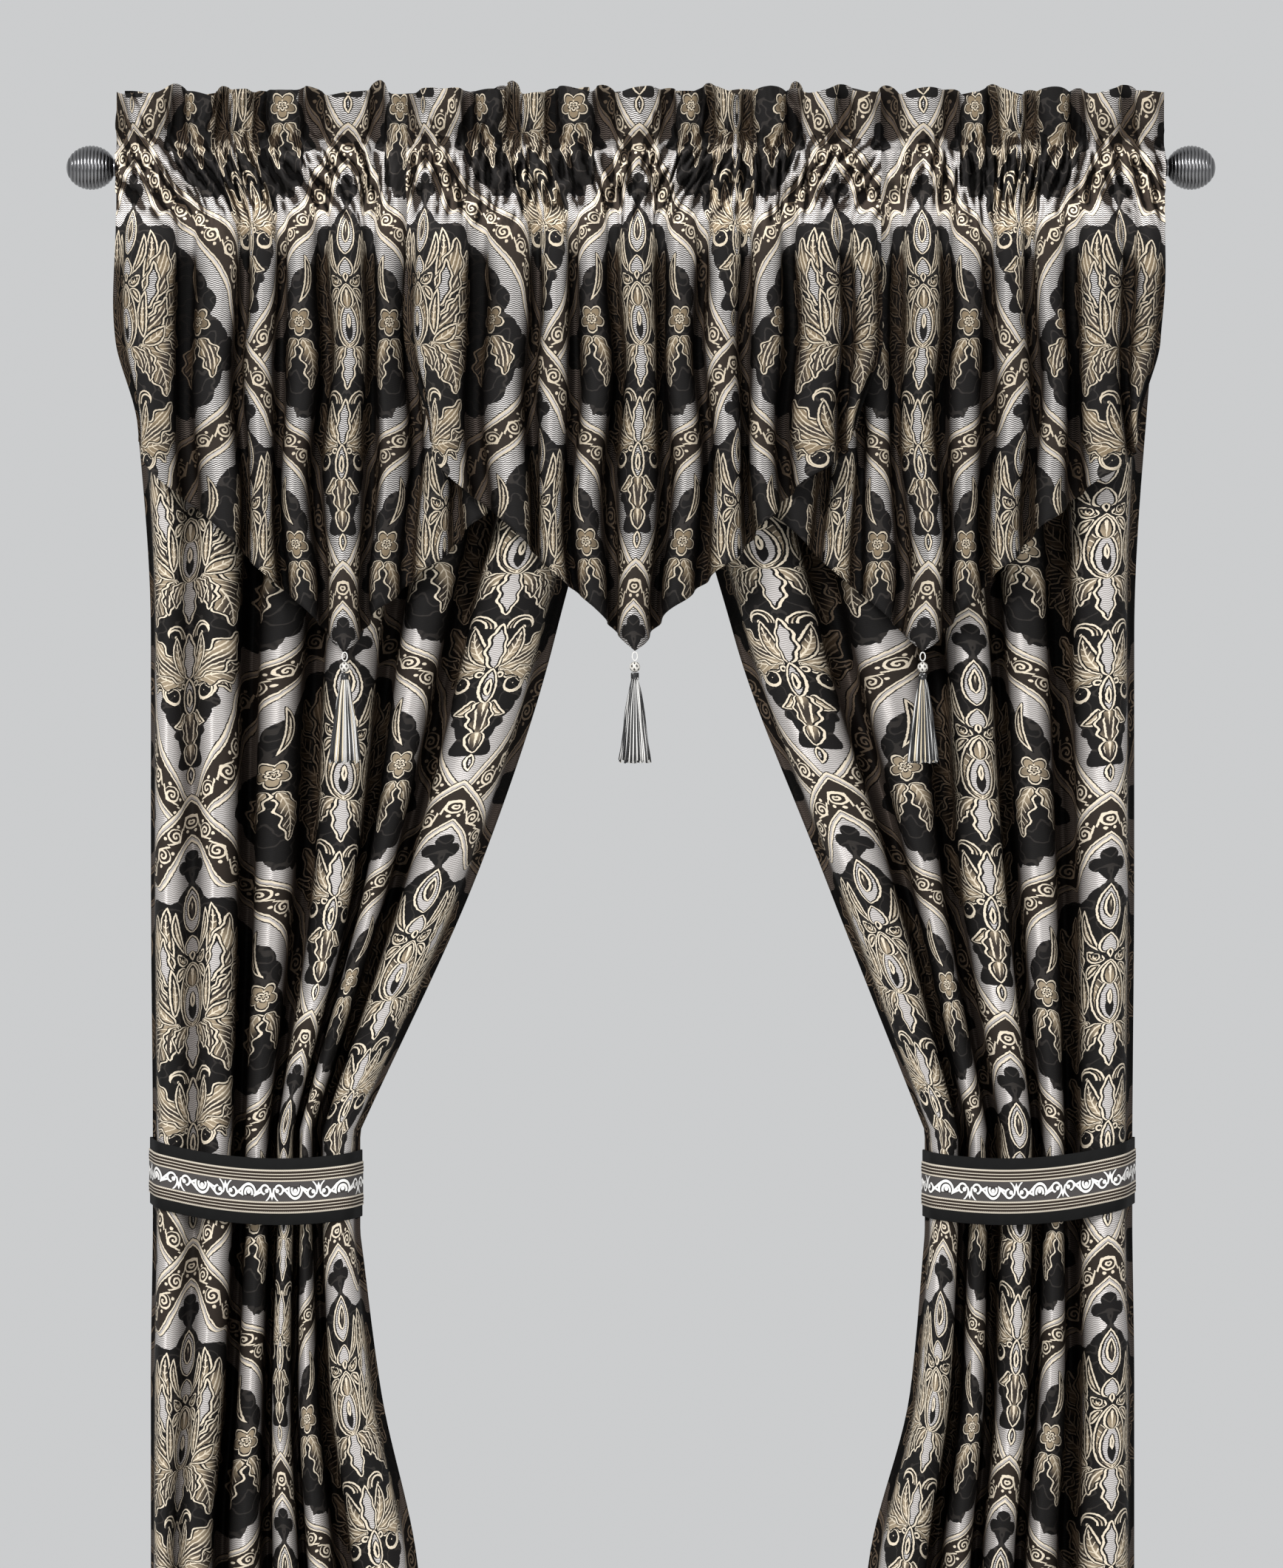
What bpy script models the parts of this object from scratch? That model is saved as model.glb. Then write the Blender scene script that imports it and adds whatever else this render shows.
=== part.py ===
"""Swag and tail drape on a plain rod: three pointed gathered valances in front of two tied-back panels.

Metres, +Z up, front towards -Y, X along the rod. The origin is the middle of the rod's axis.
"""

from collections import namedtuple
from math import atan2, cos, pi, sin

import bmesh
import bpy
import numpy as np
from mathutils import Vector

# ---------------------------------------------------------------- driving sizes
MM = 0.001
TOUCH_GAP = 0.0004  # between pieces that touch
MERGE = 0.00001  # corners closer than this are one

ROD_RADIUS = 0.012
ROD_HALF_LENGTH = 0.4968
ROD_SEGMENTS = 20

FINIAL_LENGTH = 0.047  # along the rod
FINIAL_RADIUS = 0.021
FINIAL_COLLAR_RADIUS = 0.0075
FINIAL_RINGS = 9
FINIAL_GROOVE_DEPTH = 0.0008
FINIAL_SEGMENTS = 14

CLOTH = 0.0015  # thickness of panels and valances
CLOTH_CLAMP = 1.2  # most that the thickness may reach for in a sharp fold, in fold widths
HEADING_TOP = 0.0800  # above the rod's axis
POCKET_BOTTOM = -0.030
PANEL_HEM = -2.054
PANEL_OVERHANG = 1.15  # 1 where the flanks of the folds stand square, more where the crests overhang
OVERHANG_HEIGHTS = (-0.10, -0.25)  # the folds' crests swell out between these heights
GATHER_HEIGHTS = (-0.04, -0.16)  # the heading's small gathers run into the large folds between these

VALANCE_CENTRES = {"left": -0.2807, "centre": -0.0056, "right": 0.2625}  # x of each point
VALANCE_TIP = -0.4590
VALANCE_CORNER_LEFT = -0.2610  # hem height at the left and right side edges
VALANCE_CORNER_RIGHT = -0.2500
VALANCE_TOP = 0.0755
VALANCE_POCKET_ROWS = (-0.030, -0.010, 0.010, 0.023)  # from the pocket's lower seam up
VALANCE_GATHER_LEVELS = (0.030, -0.060)  # where the table's heading and body columns hold
VALANCE_OVERHANG = 0.55
VALANCE_MIDDLE = -0.2  # the hem is cut by the cloth's length at this height
TIP_GATHER = 3  # the body column of the crest that ends in the point
PINCH_RISE = 0.0085  # the heading stands higher where it is pinched
OVERLAP_FLATTENING = 0.68  # folds of a side valance where the centre one presses on it
OVERLAP_START = 0.045  # the flattening begins this far outside the centre valance's edge
OVERLAP_BLEND = 0.040

BAND_HEIGHT = 0.063
BAND_THICKNESS = 0.0018
BAND_SLACK = 0.0004
BAND_LOWEST = -0.968  # height of the band's middle line where it dips lowest
BAND_STEP = 0.016  # mesh step along the band
BAND_SAG = 0.0180  # how far its lowest place lies below its outer end
BAND_DIP = 0.62  # where it dips lowest, as a share of the way in from its outer end
BRAID_HEIGHT = 0.0415
BRAID_THICKNESS = 0.0009
WAIST_TOP = -0.912  # the panel keeps one section between these heights
WAIST_BOTTOM = -1.009

LOOP_WIRE = 0.0006  # radius of the tassel's thread
LOOP_HALF_HEIGHT = 0.0040
LOOP_HALF_WIDTH = 0.0024
BEAD_RADIUS = 0.0050
NECK_RADIUS = 0.0038
NECK_HEIGHT = 0.0065
NECK_CORE = 0.58  # radius of the inner ring of strands, as a share of the neck's
SKIRT_LENGTH = 0.0790
STRANDS_PER_RING = 9
STRAND_ROOT_GAP = 0.00022
STRAND_STEPS = ((0.06, 1.00), (0.50, 2.45), (1.00, 3.65))  # share of the length, spread of the roots
STRAND_SLIMMING = 0.96  # a strand widens this much less than the tassel at each step
STRAND_UNEVENNESS = 0.05

# ---------------------------------------------------------------- shape tables
# Heights at which a panel's folds are placed, above its waist and below it.
UPPER_LEVELS = (0.080, -0.060, -0.443, -0.653, WAIST_TOP)
LOWER_LEVELS = (WAIST_BOTTOM, -1.160, -1.320, PANEL_HEM)

EXTRA_PANEL_ROWS = (-0.550, -1.500, -1.750)

# One row per crest or trough across a panel, outer edge first. reach: 0 at the back plane, 1 at the front.
# The other columns are millimetres from the middle of the rod, at the heading, below the valances, half way
# to the band, in the band, below it, at knee height and at the hem. steps: mesh steps to the next row.
Fold = namedtuple("Fold", "reach steps heading swag middle band below knee hem")
LEFT_FOLDS = (
    Fold(0.06, 2, -489, -466, -466, -464, -466, -466, -466),
    Fold(0.96, 2, -452, -447, -447, -446, -448, -450, -446),
    Fold(0.66, 2, -418, -427, -424, -423, -430, -440, -430),
    Fold(0.95, 3, -385, -404, -403, -404, -412, -424, -410),
    Fold(0.00, 3, -342, -370, -373, -380, -388, -398, -384),
    Fold(0.84, 3, -300, -340, -348, -363, -369, -375, -357),
    Fold(0.04, 3, -260, -309, -319, -348, -353, -355, -331),
    Fold(0.92, 2, -221, -272, -284, -337, -341, -335, -305),
    Fold(0.16, 2, -183, -236, -262, -326, -328, -320, -280),
    Fold(0.86, 2, -144, -207, -244, -318, -316, -306, -255),
    Fold(0.10, 2, -106, -178, -228, -308, -302, -285, -225),
    Fold(1.00, 2, -54, -131, -187, -286, -276, -246, -188),
    Fold(0.40, 0, -3, -81, -149, -266, -246, -212, -148),
)
RIGHT_FOLDS = (
    Fold(0.06, 2, 489, 469, 469, 467, 469, 469, 469),
    Fold(0.98, 3, 436, 440, 443, 440, 444, 443, 440),
    Fold(0.02, 3, 386, 395, 401, 406, 408, 402, 402),
    Fold(0.86, 2, 342, 363, 375, 391, 388, 377, 372),
    Fold(0.12, 2, 304, 337, 350, 376, 372, 360, 346),
    Fold(0.95, 3, 258, 311, 326, 357, 352, 338, 316),
    Fold(0.04, 3, 212, 278, 290, 333, 330, 318, 286),
    Fold(0.84, 3, 168, 226, 265, 317, 314, 299, 260),
    Fold(0.06, 3, 122, 187, 245, 307, 300, 280, 232),
    Fold(1.00, 2, 58, 132, 202, 285, 276, 248, 192),
    Fold(0.38, 0, 4, 88, 167, 269, 255, 216, 150),
)

# Where the cloth's face lies in front of the rod's axis, in millimetres: behind + depth * reach.
Station = namedtuple("Station", "height behind depth")
PANEL_FRONT = (
    Station(0.0800, -1.3, 5.0),
    Station(0.0220, 5.2, 4.5),
    Station(0.0085, 13.9, 5.0),
    Station(-0.0085, 13.9, 5.0),
    Station(-0.0300, 6.0, 6.0),
    Station(-0.0700, -4.0, 22.0),
    Station(-0.1200, -13.0, 33.0),
    Station(-0.2000, -22.0, 46.0),
    Station(-0.3200, -27.0, 54.0),
    Station(-0.4430, -29.0, 58.0),
    Station(-0.6530, -30.0, 60.0),
    Station(-0.8000, -29.0, 58.0),
    Station(WAIST_TOP, -27.0, 54.0),
    Station(WAIST_BOTTOM, -27.0, 54.0),
    Station(-1.1600, -29.0, 59.0),
    Station(-1.3200, -30.0, 61.0),
    Station(PANEL_HEM, -31.0, 63.0),
)
# The same behind the axis, for the part of the heading that is turned to the back.
PANEL_BACK = (
    Station(0.0790, 4.7, -5.0),
    Station(0.0220, 7.0, 3.5),
    Station(0.0085, 13.9, 5.0),
    Station(-0.0085, 13.9, 5.0),
    Station(POCKET_BOTTOM - 0.004, 12.0, 5.0),
)

# One row per crest or trough across a valance, millimetres from its point, at the heading and in the body.
Gather = namedtuple("Gather", "reach heading body")
VALANCE_GATHERS = (
    Gather(0.45, -215, -215),
    Gather(1.00, -180, -181),
    Gather(0.10, -157, -148),
    Gather(0.90, -134, -115),
    Gather(0.05, -115, -94),
    Gather(0.95, -97, -76),
    Gather(0.12, -80, -59),
    Gather(0.88, -55, -40),
    Gather(0.00, -30, -21),
    Gather(1.00, 5, 3),
    Gather(0.04, 33, 25),
    Gather(0.88, 52, 43),
    Gather(0.08, 70, 64),
    Gather(0.94, 88, 85),
    Gather(0.10, 105, 105),
    Gather(0.90, 126, 123),
    Gather(0.02, 150, 143),
    Gather(1.00, 172, 172),
    Gather(0.15, 199, 199),
    Gather(0.80, 217, 217),
    Gather(0.40, 232, 232),
)
SIDE_VALANCE_FRONT = (
    Station(0.0800, 5.0, 7.0),
    Station(0.0230, 11.2, 5.5),
    Station(0.0100, 20.6, 6.5),
    Station(-0.0100, 20.6, 6.5),
    Station(-0.0300, 14.6, 7.5),
    Station(-0.0600, 19.2, 13.0),
    Station(-0.1100, 19.0, 19.0),
    Station(-0.2000, 24.0, 25.0),
    Station(-0.3000, 29.0, 28.0),
    Station(VALANCE_TIP, 33.0, 27.0),
)
CENTRE_VALANCE_FRONT = (
    Station(0.0800, 11.8, 7.0),
    Station(0.0230, 16.2, 5.5),
    Station(0.0100, 28.2, 6.5),
    Station(-0.0100, 28.2, 6.5),
    Station(-0.0300, 22.2, 7.5),
    Station(-0.0600, 29.4, 13.0),
    Station(-0.1100, 31.4, 19.0),
    Station(-0.2000, 39.4, 25.0),
    Station(-0.3000, 45.6, 28.0),
    Station(VALANCE_TIP, 49.5, 27.0),
)
VALANCE_ROW_SHARES = (0.10, 0.24, 0.42, 0.62, 0.82, 1.0)  # rows between the pocket and the hem
VALANCE_STEPS = 2


# ---------------------------------------------------------------- scene, collections and materials
def clear_scene():
    """Remove every object of the file."""
    for old in list(bpy.data.objects):
        bpy.data.objects.remove(old, do_unlink=True)


def new_collection(name):
    """Link a new collection to the scene."""
    group = bpy.data.collections.new(name)
    bpy.context.scene.collection.children.link(group)
    return group


def new_material(name, colour, roughness, metallic=0.0):
    """A plain Principled material."""
    material = bpy.data.materials.new(name)
    material.use_nodes = True
    shader = material.node_tree.nodes["Principled BSDF"]
    shader.inputs["Base Color"].default_value = (*colour, 1.0)
    shader.inputs["Roughness"].default_value = roughness
    shader.inputs["Metallic"].default_value = metallic
    material.diffuse_color = (*colour, 1.0)
    return material


def add_object(name, bm, material, group, smooth=True):
    """Put a bmesh into a new object of its own."""
    mesh = bpy.data.meshes.new(name)
    bm.to_mesh(mesh)
    bm.free()
    if smooth:
        mesh.shade_smooth()
    mesh.materials.append(material)
    made = bpy.data.objects.new(name, mesh)
    group.objects.link(made)
    return made


# ---------------------------------------------------------------- curves through tables
def smooth_through(heights, values, height):
    """Monotone cubic through rows given from the top down, read at one height."""
    places = -np.asarray(heights, dtype=float)
    values = np.asarray(values, dtype=float)
    place = min(max(-height, places[0]), places[-1])
    slopes = np.diff(values) / np.diff(places)
    tangents = np.concatenate(([slopes[0]], np.zeros(len(slopes) - 1), [slopes[-1]]))
    for i in range(1, len(slopes)):
        if slopes[i - 1] * slopes[i] > 0:
            tangents[i] = 2 * slopes[i - 1] * slopes[i] / (slopes[i - 1] + slopes[i])
    i = min(int(np.searchsorted(places, place, side="right")) - 1, len(slopes) - 1)
    step = places[i + 1] - places[i]
    t = (place - places[i]) / step
    return float(
        values[i] * (1 + 2 * t) * (1 - t) ** 2
        + tangents[i] * step * t * (1 - t) ** 2
        + values[i + 1] * t * t * (3 - 2 * t)
        - tangents[i + 1] * step * t * t * (1 - t)
    )


def station_at(stations, height):
    """Behind and depth of a station table at one height, in millimetres."""
    heights = [row.height for row in stations]
    behind = smooth_through(heights, [row.behind for row in stations], height)
    depth = smooth_through(heights, [row.depth for row in stations], height)
    return behind, depth


def along_folds(crests, reaches, place, overhang):
    """Where the folded cloth lies at a place counted in rows: its x, and its reach from 0 to 1."""
    row = min(int(place), len(crests) - 2)
    t = place - row
    run = t + overhang * sin(2 * pi * t) / (2 * pi)
    swing = 0.5 - 0.5 * cos(pi * t)
    x = crests[row] + (crests[row + 1] - crests[row]) * run
    reach = reaches[row] + (reaches[row + 1] - reaches[row]) * swing
    return x, reach


def places_with_steps(steps):
    """Places along a fold table with the given number of mesh steps from each row to the next."""
    places = []
    for row, count in enumerate(steps):
        places += [row + k / count for k in range(count)]
    return places + [float(len(steps))]


# ---------------------------------------------------------------- cloth
def sheet(name, columns, rows, point, material, group):
    """A sheet of cloth: a grid whose corner (i, j) lies at point(i, j), its face outwards, made solid."""
    bm = bmesh.new()
    bmesh.ops.create_grid(bm, x_segments=columns - 1, y_segments=rows - 1, size=0.5)
    for corner in bm.verts:
        i = round((corner.co.x + 0.5) * (columns - 1))
        j = round((corner.co.y + 0.5) * (rows - 1))
        corner.co = point(i, j)
    made = add_object(name, bm, material, group)
    solid = made.modifiers.new("cloth", "SOLIDIFY")
    solid.thickness = CLOTH
    solid.offset = -1.0
    solid.use_even_offset = True
    solid.thickness_clamp = CLOTH_CLAMP
    return made


def panel_levels(folds, height):
    """x of every crest and trough of a panel at one height, in metres: the cloth turns sharply at its waist."""
    if height > WAIST_BOTTOM:
        rows = [(f.heading, f.heading, f.swag, f.middle, f.band) for f in folds]
        return [smooth_through(UPPER_LEVELS, row, height) * MM for row in rows]
    rows = [(f.band, f.below, f.knee, f.hem) for f in folds]
    return [smooth_through(LOWER_LEVELS, row, height) * MM for row in rows]


def ramp(height, start, end):
    """0 at the start height and past it, 1 at the end height and past it, straight between."""
    return min(1.0, max(0.0, (height - start) / (end - start)))


def panel_point(folds, place, column, height, back=False):
    """A point on a panel's face: place along its fold table, column for the gathers of its heading."""
    crests = panel_levels(folds, height)
    overhang = PANEL_OVERHANG * ramp(height, *OVERHANG_HEIGHTS)
    x, fold_reach = along_folds(crests, [f.reach for f in folds], place, overhang)
    gather_reach = 0.5 - 0.5 * cos(pi * column)
    folded = ramp(height, *GATHER_HEIGHTS)
    reach = gather_reach + (fold_reach - gather_reach) * folded
    behind, depth = station_at(PANEL_BACK if back else PANEL_FRONT, height)
    y = (behind + depth * reach) * MM
    return x, (y if back else -y), height


def make_panel(name, folds, mirrored, material, group):
    """One tied-back panel: its front from hem to heading, and the heading turned down behind the rod."""
    places = places_with_steps([f.steps for f in folds[:-1]])
    if mirrored:  # the grid runs along +X, so that its face looks outwards
        places = places[::-1]
    front = sorted({s.height for s in PANEL_FRONT} | set(EXTRA_PANEL_ROWS))
    back = [s.height for s in PANEL_BACK]

    def point(i, j):
        """Grid corner: columns across, rows from the hem up the front, then down the back."""
        if j < len(front):
            return panel_point(folds, places[i], i, front[j])
        return panel_point(folds, places[i], i, back[j - len(front)], back=True)

    return sheet(name, len(places), len(front) + len(back), point, material, group)


def valance_line(stations, height, tip_x, flatten, count):
    """Points across a valance at one height, with how far each lies along the cloth, from 0 to 1."""
    gathers = VALANCE_GATHERS
    crests = [tip_x + smooth_through(VALANCE_GATHER_LEVELS, (g.heading, g.body), height) * MM for g in gathers]
    behind, depth = station_at(stations, height)
    points = []
    for k in range(count):
        place = k / (count - 1) * (len(gathers) - 1)
        x, reach = along_folds(crests, [g.reach for g in gathers], place, VALANCE_OVERHANG)
        y = -(behind + depth * reach * flatten(x)) * MM
        points.append((x, y, reach))
    lengths = np.hypot(np.diff([p[0] for p in points]), np.diff([p[1] for p in points]))
    along = np.concatenate(([0.0], np.cumsum(lengths))) / lengths.sum()
    return points, along


def valance_hem(along, tip_along):
    """Hem height at a share of the cloth's width: straight from each corner to the point."""
    if along < tip_along:
        return VALANCE_CORNER_LEFT + (VALANCE_TIP - VALANCE_CORNER_LEFT) * along / tip_along
    return VALANCE_TIP + (VALANCE_CORNER_RIGHT - VALANCE_TIP) * (along - tip_along) / (1 - tip_along)


def overlap_flattening(side):
    """How much of its fold depth a valance keeps at each x: less where the centre one covers it."""
    edge = {
        "left": VALANCE_CENTRES["centre"] + VALANCE_GATHERS[0].body * MM,
        "right": VALANCE_CENTRES["centre"] + VALANCE_GATHERS[-1].body * MM,
    }.get(side)

    def keep(x):
        """1 in the open, OVERLAP_FLATTENING under the centre valance."""
        if edge is None:
            return 1.0
        inside = (x - edge) if side == "left" else (edge - x)
        return 1.0 + (OVERLAP_FLATTENING - 1.0) * ramp(inside, -OVERLAP_START, OVERLAP_BLEND - OVERLAP_START)

    return keep


def make_valance(side, material, group):
    """One pointed, gathered valance hanging in front of the rod."""
    stations = CENTRE_VALANCE_FRONT if side == "centre" else SIDE_VALANCE_FRONT
    tip_x = VALANCE_CENTRES[side]
    flatten = overlap_flattening(side)
    count = VALANCE_STEPS * (len(VALANCE_GATHERS) - 1) + 1
    tip_column = VALANCE_STEPS * next(i for i, g in enumerate(VALANCE_GATHERS) if g.body == TIP_GATHER)
    _, along = valance_line(stations, VALANCE_MIDDLE, tip_x, flatten, count)
    rows = len(VALANCE_ROW_SHARES) + len(VALANCE_POCKET_ROWS) + 1

    def point(i, j):
        """Grid corner: columns across, rows from the hem up to the top of the heading."""
        below = len(VALANCE_ROW_SHARES)
        if j < below:
            share = VALANCE_ROW_SHARES[below - 1 - j]
            hem = valance_hem(along[i], along[tip_column])
            height = VALANCE_POCKET_ROWS[0] + (hem - VALANCE_POCKET_ROWS[0]) * share
        else:
            height = HEADING_TOP if j == rows - 1 else VALANCE_POCKET_ROWS[j - below]
        x, y, reach = valance_line(stations, height, tip_x, flatten, count)[0][i]
        if j == rows - 1:
            height = VALANCE_TOP + PINCH_RISE * (1 - reach) ** 2
        return x, y, height

    return sheet("valance_" + side, count, rows, point, material, group)


# ---------------------------------------------------------------- tie bands
def panel_waist(panel):
    """Plan points of a finished panel in its waist, both faces."""
    solid = panel.evaluated_get(bpy.context.evaluated_depsgraph_get()).data
    inside = [
        corner.co for corner in solid.vertices if WAIST_BOTTOM - TOUCH_GAP < corner.co.z < WAIST_TOP + TOUCH_GAP
    ]
    return np.array([(co.x, co.y) for co in inside])


def taut_loop(points):
    """The convex outline of plan points, anticlockwise: the path of a band drawn tight round them."""
    ordered = sorted({(round(x, 5), round(y, 5)) for x, y in points})
    outline = []
    for run in (ordered, ordered[::-1]):
        half = []
        for x, y in run:
            while len(half) > 1 and turn_of(half[-2], half[-1], (x, y)) <= 0:
                half.pop()
            half.append((x, y))
        outline += half[:-1]
    points = []
    for a, b in zip(np.array(outline), np.roll(np.array(outline), -1, axis=0)):
        count = max(1, round(float(np.hypot(*(b - a))) / BAND_STEP))
        points += [a + (b - a) * k / count for k in range(count)]
    return np.array(points)


def turn_of(a, b, c):
    """Positive where the way from a through b to c turns left."""
    return (b[0] - a[0]) * (c[1] - a[1]) - (b[1] - a[1]) * (c[0] - a[0])


def stand_off(outline, distance):
    """An anticlockwise outline moved outwards by a distance, corner by corner."""
    before = outline - np.roll(outline, 1, axis=0)
    after = np.roll(before, -1, axis=0)
    normals = [np.column_stack((run[:, 1], -run[:, 0])) / np.hypot(*run.T)[:, None] for run in (before, after)]
    miter = normals[0] + normals[1]
    return outline + miter * (2 * distance / (miter**2).sum(axis=1))[:, None]


def band_height(points, x):
    """Height of the band's middle line at x: highest at its outer end, lowest at BAND_DIP, then rising a little."""
    distances = np.abs(points[:, 0])
    share = (distances.max() - abs(x)) / (distances.max() - distances.min())
    return BAND_LOWEST + BAND_SAG * (share / BAND_DIP - 1) ** 2


def make_loop_band(name, outline, clear, height, thickness, material, group):
    """A closed flat band drawn round an outline: a ring of four-sided sections."""
    inner = stand_off(outline, clear)
    outer = stand_off(outline, clear + thickness)
    count = len(outline)
    bm = bmesh.new()
    bmesh.ops.create_grid(bm, x_segments=count, y_segments=4, size=0.5)
    for corner in bm.verts:
        k = round((corner.co.x + 0.5) * count) % count
        side = round((corner.co.y + 0.5) * 4) % 4
        x, y = (outer if side in (0, 3) else inner)[k]
        middle = band_height(outline, outline[k][0])
        corner.co = (x, y, middle + (0.5 if side in (0, 1) else -0.5) * height)
    bmesh.ops.remove_doubles(bm, verts=bm.verts, dist=MERGE)
    bmesh.ops.recalc_face_normals(bm, faces=bm.faces)
    return add_object(name, bm, material, group, smooth=False)


# ---------------------------------------------------------------- tassels
def make_tassel(side, tip, materials, group):
    """Thread loop, bead, and wrapped neck with its strands, hanging under a valance's point."""
    x, y, z = tip
    loop_z = z - TOUCH_GAP - LOOP_WIRE - LOOP_HALF_HEIGHT
    bpy.ops.mesh.primitive_torus_add(
        major_segments=12, minor_segments=5, major_radius=LOOP_HALF_WIDTH, minor_radius=LOOP_WIRE,
        location=(x, y, loop_z), rotation=(pi / 2, 0, 0),
    )
    loop = bpy.context.object
    stretch = LOOP_HALF_HEIGHT - LOOP_HALF_WIDTH
    for corner in loop.data.vertices:
        corner.co.y += stretch if corner.co.y > 0 else -stretch
    settle(loop, "tassel_loop_" + side, materials["thread"], group)

    bead_z = loop_z - LOOP_HALF_HEIGHT - LOOP_WIRE - TOUCH_GAP - BEAD_RADIUS
    bpy.ops.mesh.primitive_uv_sphere_add(segments=12, ring_count=7, radius=BEAD_RADIUS, location=(x, y, bead_z))
    settle(bpy.context.object, "tassel_bead_" + side, materials["bead"], group)

    neck_top = bead_z - BEAD_RADIUS - TOUCH_GAP
    bm = bmesh.new()
    bmesh.ops.create_cone(
        bm, cap_ends=True, segments=STRANDS_PER_RING, radius1=NECK_RADIUS, radius2=NECK_RADIUS, depth=NECK_HEIGHT,
    )
    bottom = min(bm.faces, key=lambda face: face.calc_center_median().z)
    ring = bmesh.ops.inset_region(bm, faces=[bottom], thickness=NECK_RADIUS * (1 - NECK_CORE))["faces"]
    fan = bmesh.ops.poke(bm, faces=[bottom])["faces"]
    roots = ring + fan
    bmesh.ops.inset_individual(bm, faces=roots, thickness=STRAND_ROOT_GAP)
    grow_strands(bm, roots)
    made = add_object("tassel_skirt_" + side, bm, materials["strand"], group, smooth=False)
    made.location = (x, y, neck_top - NECK_HEIGHT / 2)


def grow_strands(bm, roots):
    """Draw each root face down into a strand that spreads as it falls, with uneven ends."""
    tips = roots
    share_before, spread_before = 0.0, 1.0
    for share, spread in STRAND_STEPS:
        tips = bmesh.ops.extrude_discrete_faces(bm, faces=tips)["faces"]
        widen = spread / spread_before
        for face in tips:
            centre = face.calc_center_median()
            fall = SKIRT_LENGTH * (share - share_before) * (1 - STRAND_UNEVENNESS * uneven(centre))
            target = Vector((centre.x * widen, centre.y * widen, centre.z - fall))
            for corner in face.verts:
                corner.co = target + (corner.co - centre) * widen * STRAND_SLIMMING
        share_before, spread_before = share, spread


def uneven(centre):
    """From 0 to 1 round the tassel: which strands end a little higher."""
    return 0.5 + 0.5 * sin(5 * atan2(centre.y, centre.x))


def settle(made, name, material, group):
    """Name an object made by an operator, give it its material and move it to the collection."""
    made.name = name
    made.data.name = name
    made.data.materials.append(material)
    made.data.shade_smooth()
    for old in list(made.users_collection):
        old.objects.unlink(made)
    group.objects.link(made)


# ---------------------------------------------------------------- rod and finials
def make_rod(material, group):
    """The plain rod that everything hangs from."""
    bpy.ops.mesh.primitive_cylinder_add(
        vertices=ROD_SEGMENTS, radius=ROD_RADIUS, depth=2 * ROD_HALF_LENGTH, rotation=(0, pi / 2, 0),
    )
    settle(bpy.context.object, "rod", material, group)
    bpy.data.objects["rod"].data.set_sharp_from_angle(angle=pi / 4)


def finial_profile():
    """Radius and distance along the rod, from the ball's outer end to its collar."""
    half = FINIAL_LENGTH / 2
    profile = [(0.0, FINIAL_LENGTH)]
    for k in range(2 * FINIAL_RINGS + 1):
        angle = pi * (0.04 + 0.90 * k / (2 * FINIAL_RINGS))
        groove = FINIAL_GROOVE_DEPTH if k % 2 else 0.0
        profile.append((FINIAL_RADIUS * sin(angle) - groove, half + half * cos(angle)))
    profile.append((FINIAL_COLLAR_RADIUS, 0.0))
    profile.append((0.0, 0.0))
    return profile


def make_finial(side, sign, material, group):
    """A turned ball with ring grooves, its axis along the rod."""
    bm = bmesh.new()
    corners = [bm.verts.new((distance, radius, 0.0)) for radius, distance in finial_profile()]
    for first, second in zip(corners, corners[1:]):
        bm.edges.new((first, second))
    made = add_object("finial_" + side, bm, material, group)
    turn = made.modifiers.new("turn", "SCREW")
    turn.axis = "X"
    turn.steps = turn.render_steps = FINIAL_SEGMENTS
    turn.use_merge_vertices = True
    turn.merge_threshold = MERGE
    turn.use_normal_calculate = True
    made.location.x = sign * (ROD_HALF_LENGTH + TOUCH_GAP)
    made.rotation_euler.z = 0.0 if sign > 0 else pi


# ---------------------------------------------------------------- the whole drape
def main():
    """Build every piece."""
    clear_scene()
    group = new_collection("swag_and_tail_drape")
    cloth = new_material("jacquard_cloth", (0.09, 0.085, 0.08), 0.7)
    metal = new_material("brushed_metal", (0.62, 0.62, 0.63), 0.3, 1.0)
    band = new_material("black_satin", (0.02, 0.02, 0.02), 0.6)
    braid = new_material("woven_braid", (0.45, 0.42, 0.36), 0.7)
    tassel = {
        "thread": new_material("tassel_thread", (0.75, 0.74, 0.72), 0.6),
        "bead": new_material("tassel_bead", (0.75, 0.75, 0.75), 0.25, 1.0),
        "strand": new_material("tassel_strand", (0.30, 0.29, 0.28), 0.6),
    }
    make_rod(metal, group)
    make_finial("left", -1, metal, group)
    make_finial("right", 1, metal, group)
    for side, folds in (("left", LEFT_FOLDS), ("right", RIGHT_FOLDS)):
        panel = make_panel("panel_" + side, folds, side == "right", cloth, group)
        waist = taut_loop(panel_waist(panel))
        make_loop_band("tie_band_" + side, waist, BAND_SLACK, BAND_HEIGHT, BAND_THICKNESS, band, group)
        make_loop_band(
            "tie_braid_" + side, waist, BAND_SLACK + BAND_THICKNESS + TOUCH_GAP, BRAID_HEIGHT, BRAID_THICKNESS,
            braid, group,
        )
    for side in VALANCE_CENTRES:
        made = make_valance(side, cloth, group)
        tip = min((corner.co for corner in made.data.vertices), key=lambda co: co.z)
        make_tassel(side, (tip.x, tip.y + CLOTH / 2, tip.z), tassel, group)


main()
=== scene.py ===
"""Looks of a swag and tail drape on a rod: damask cloth, braided tie bands, tassels and turned finials.

Metres, +Z up, front towards -Y, X along the rod. The origin is the middle of the rod's axis.
"""

import functools
import logging
import math
import random
from dataclasses import dataclass, field
from enum import Enum
from math import cos, pi, sin
from typing import Callable, NamedTuple, Sequence, Union

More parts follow.
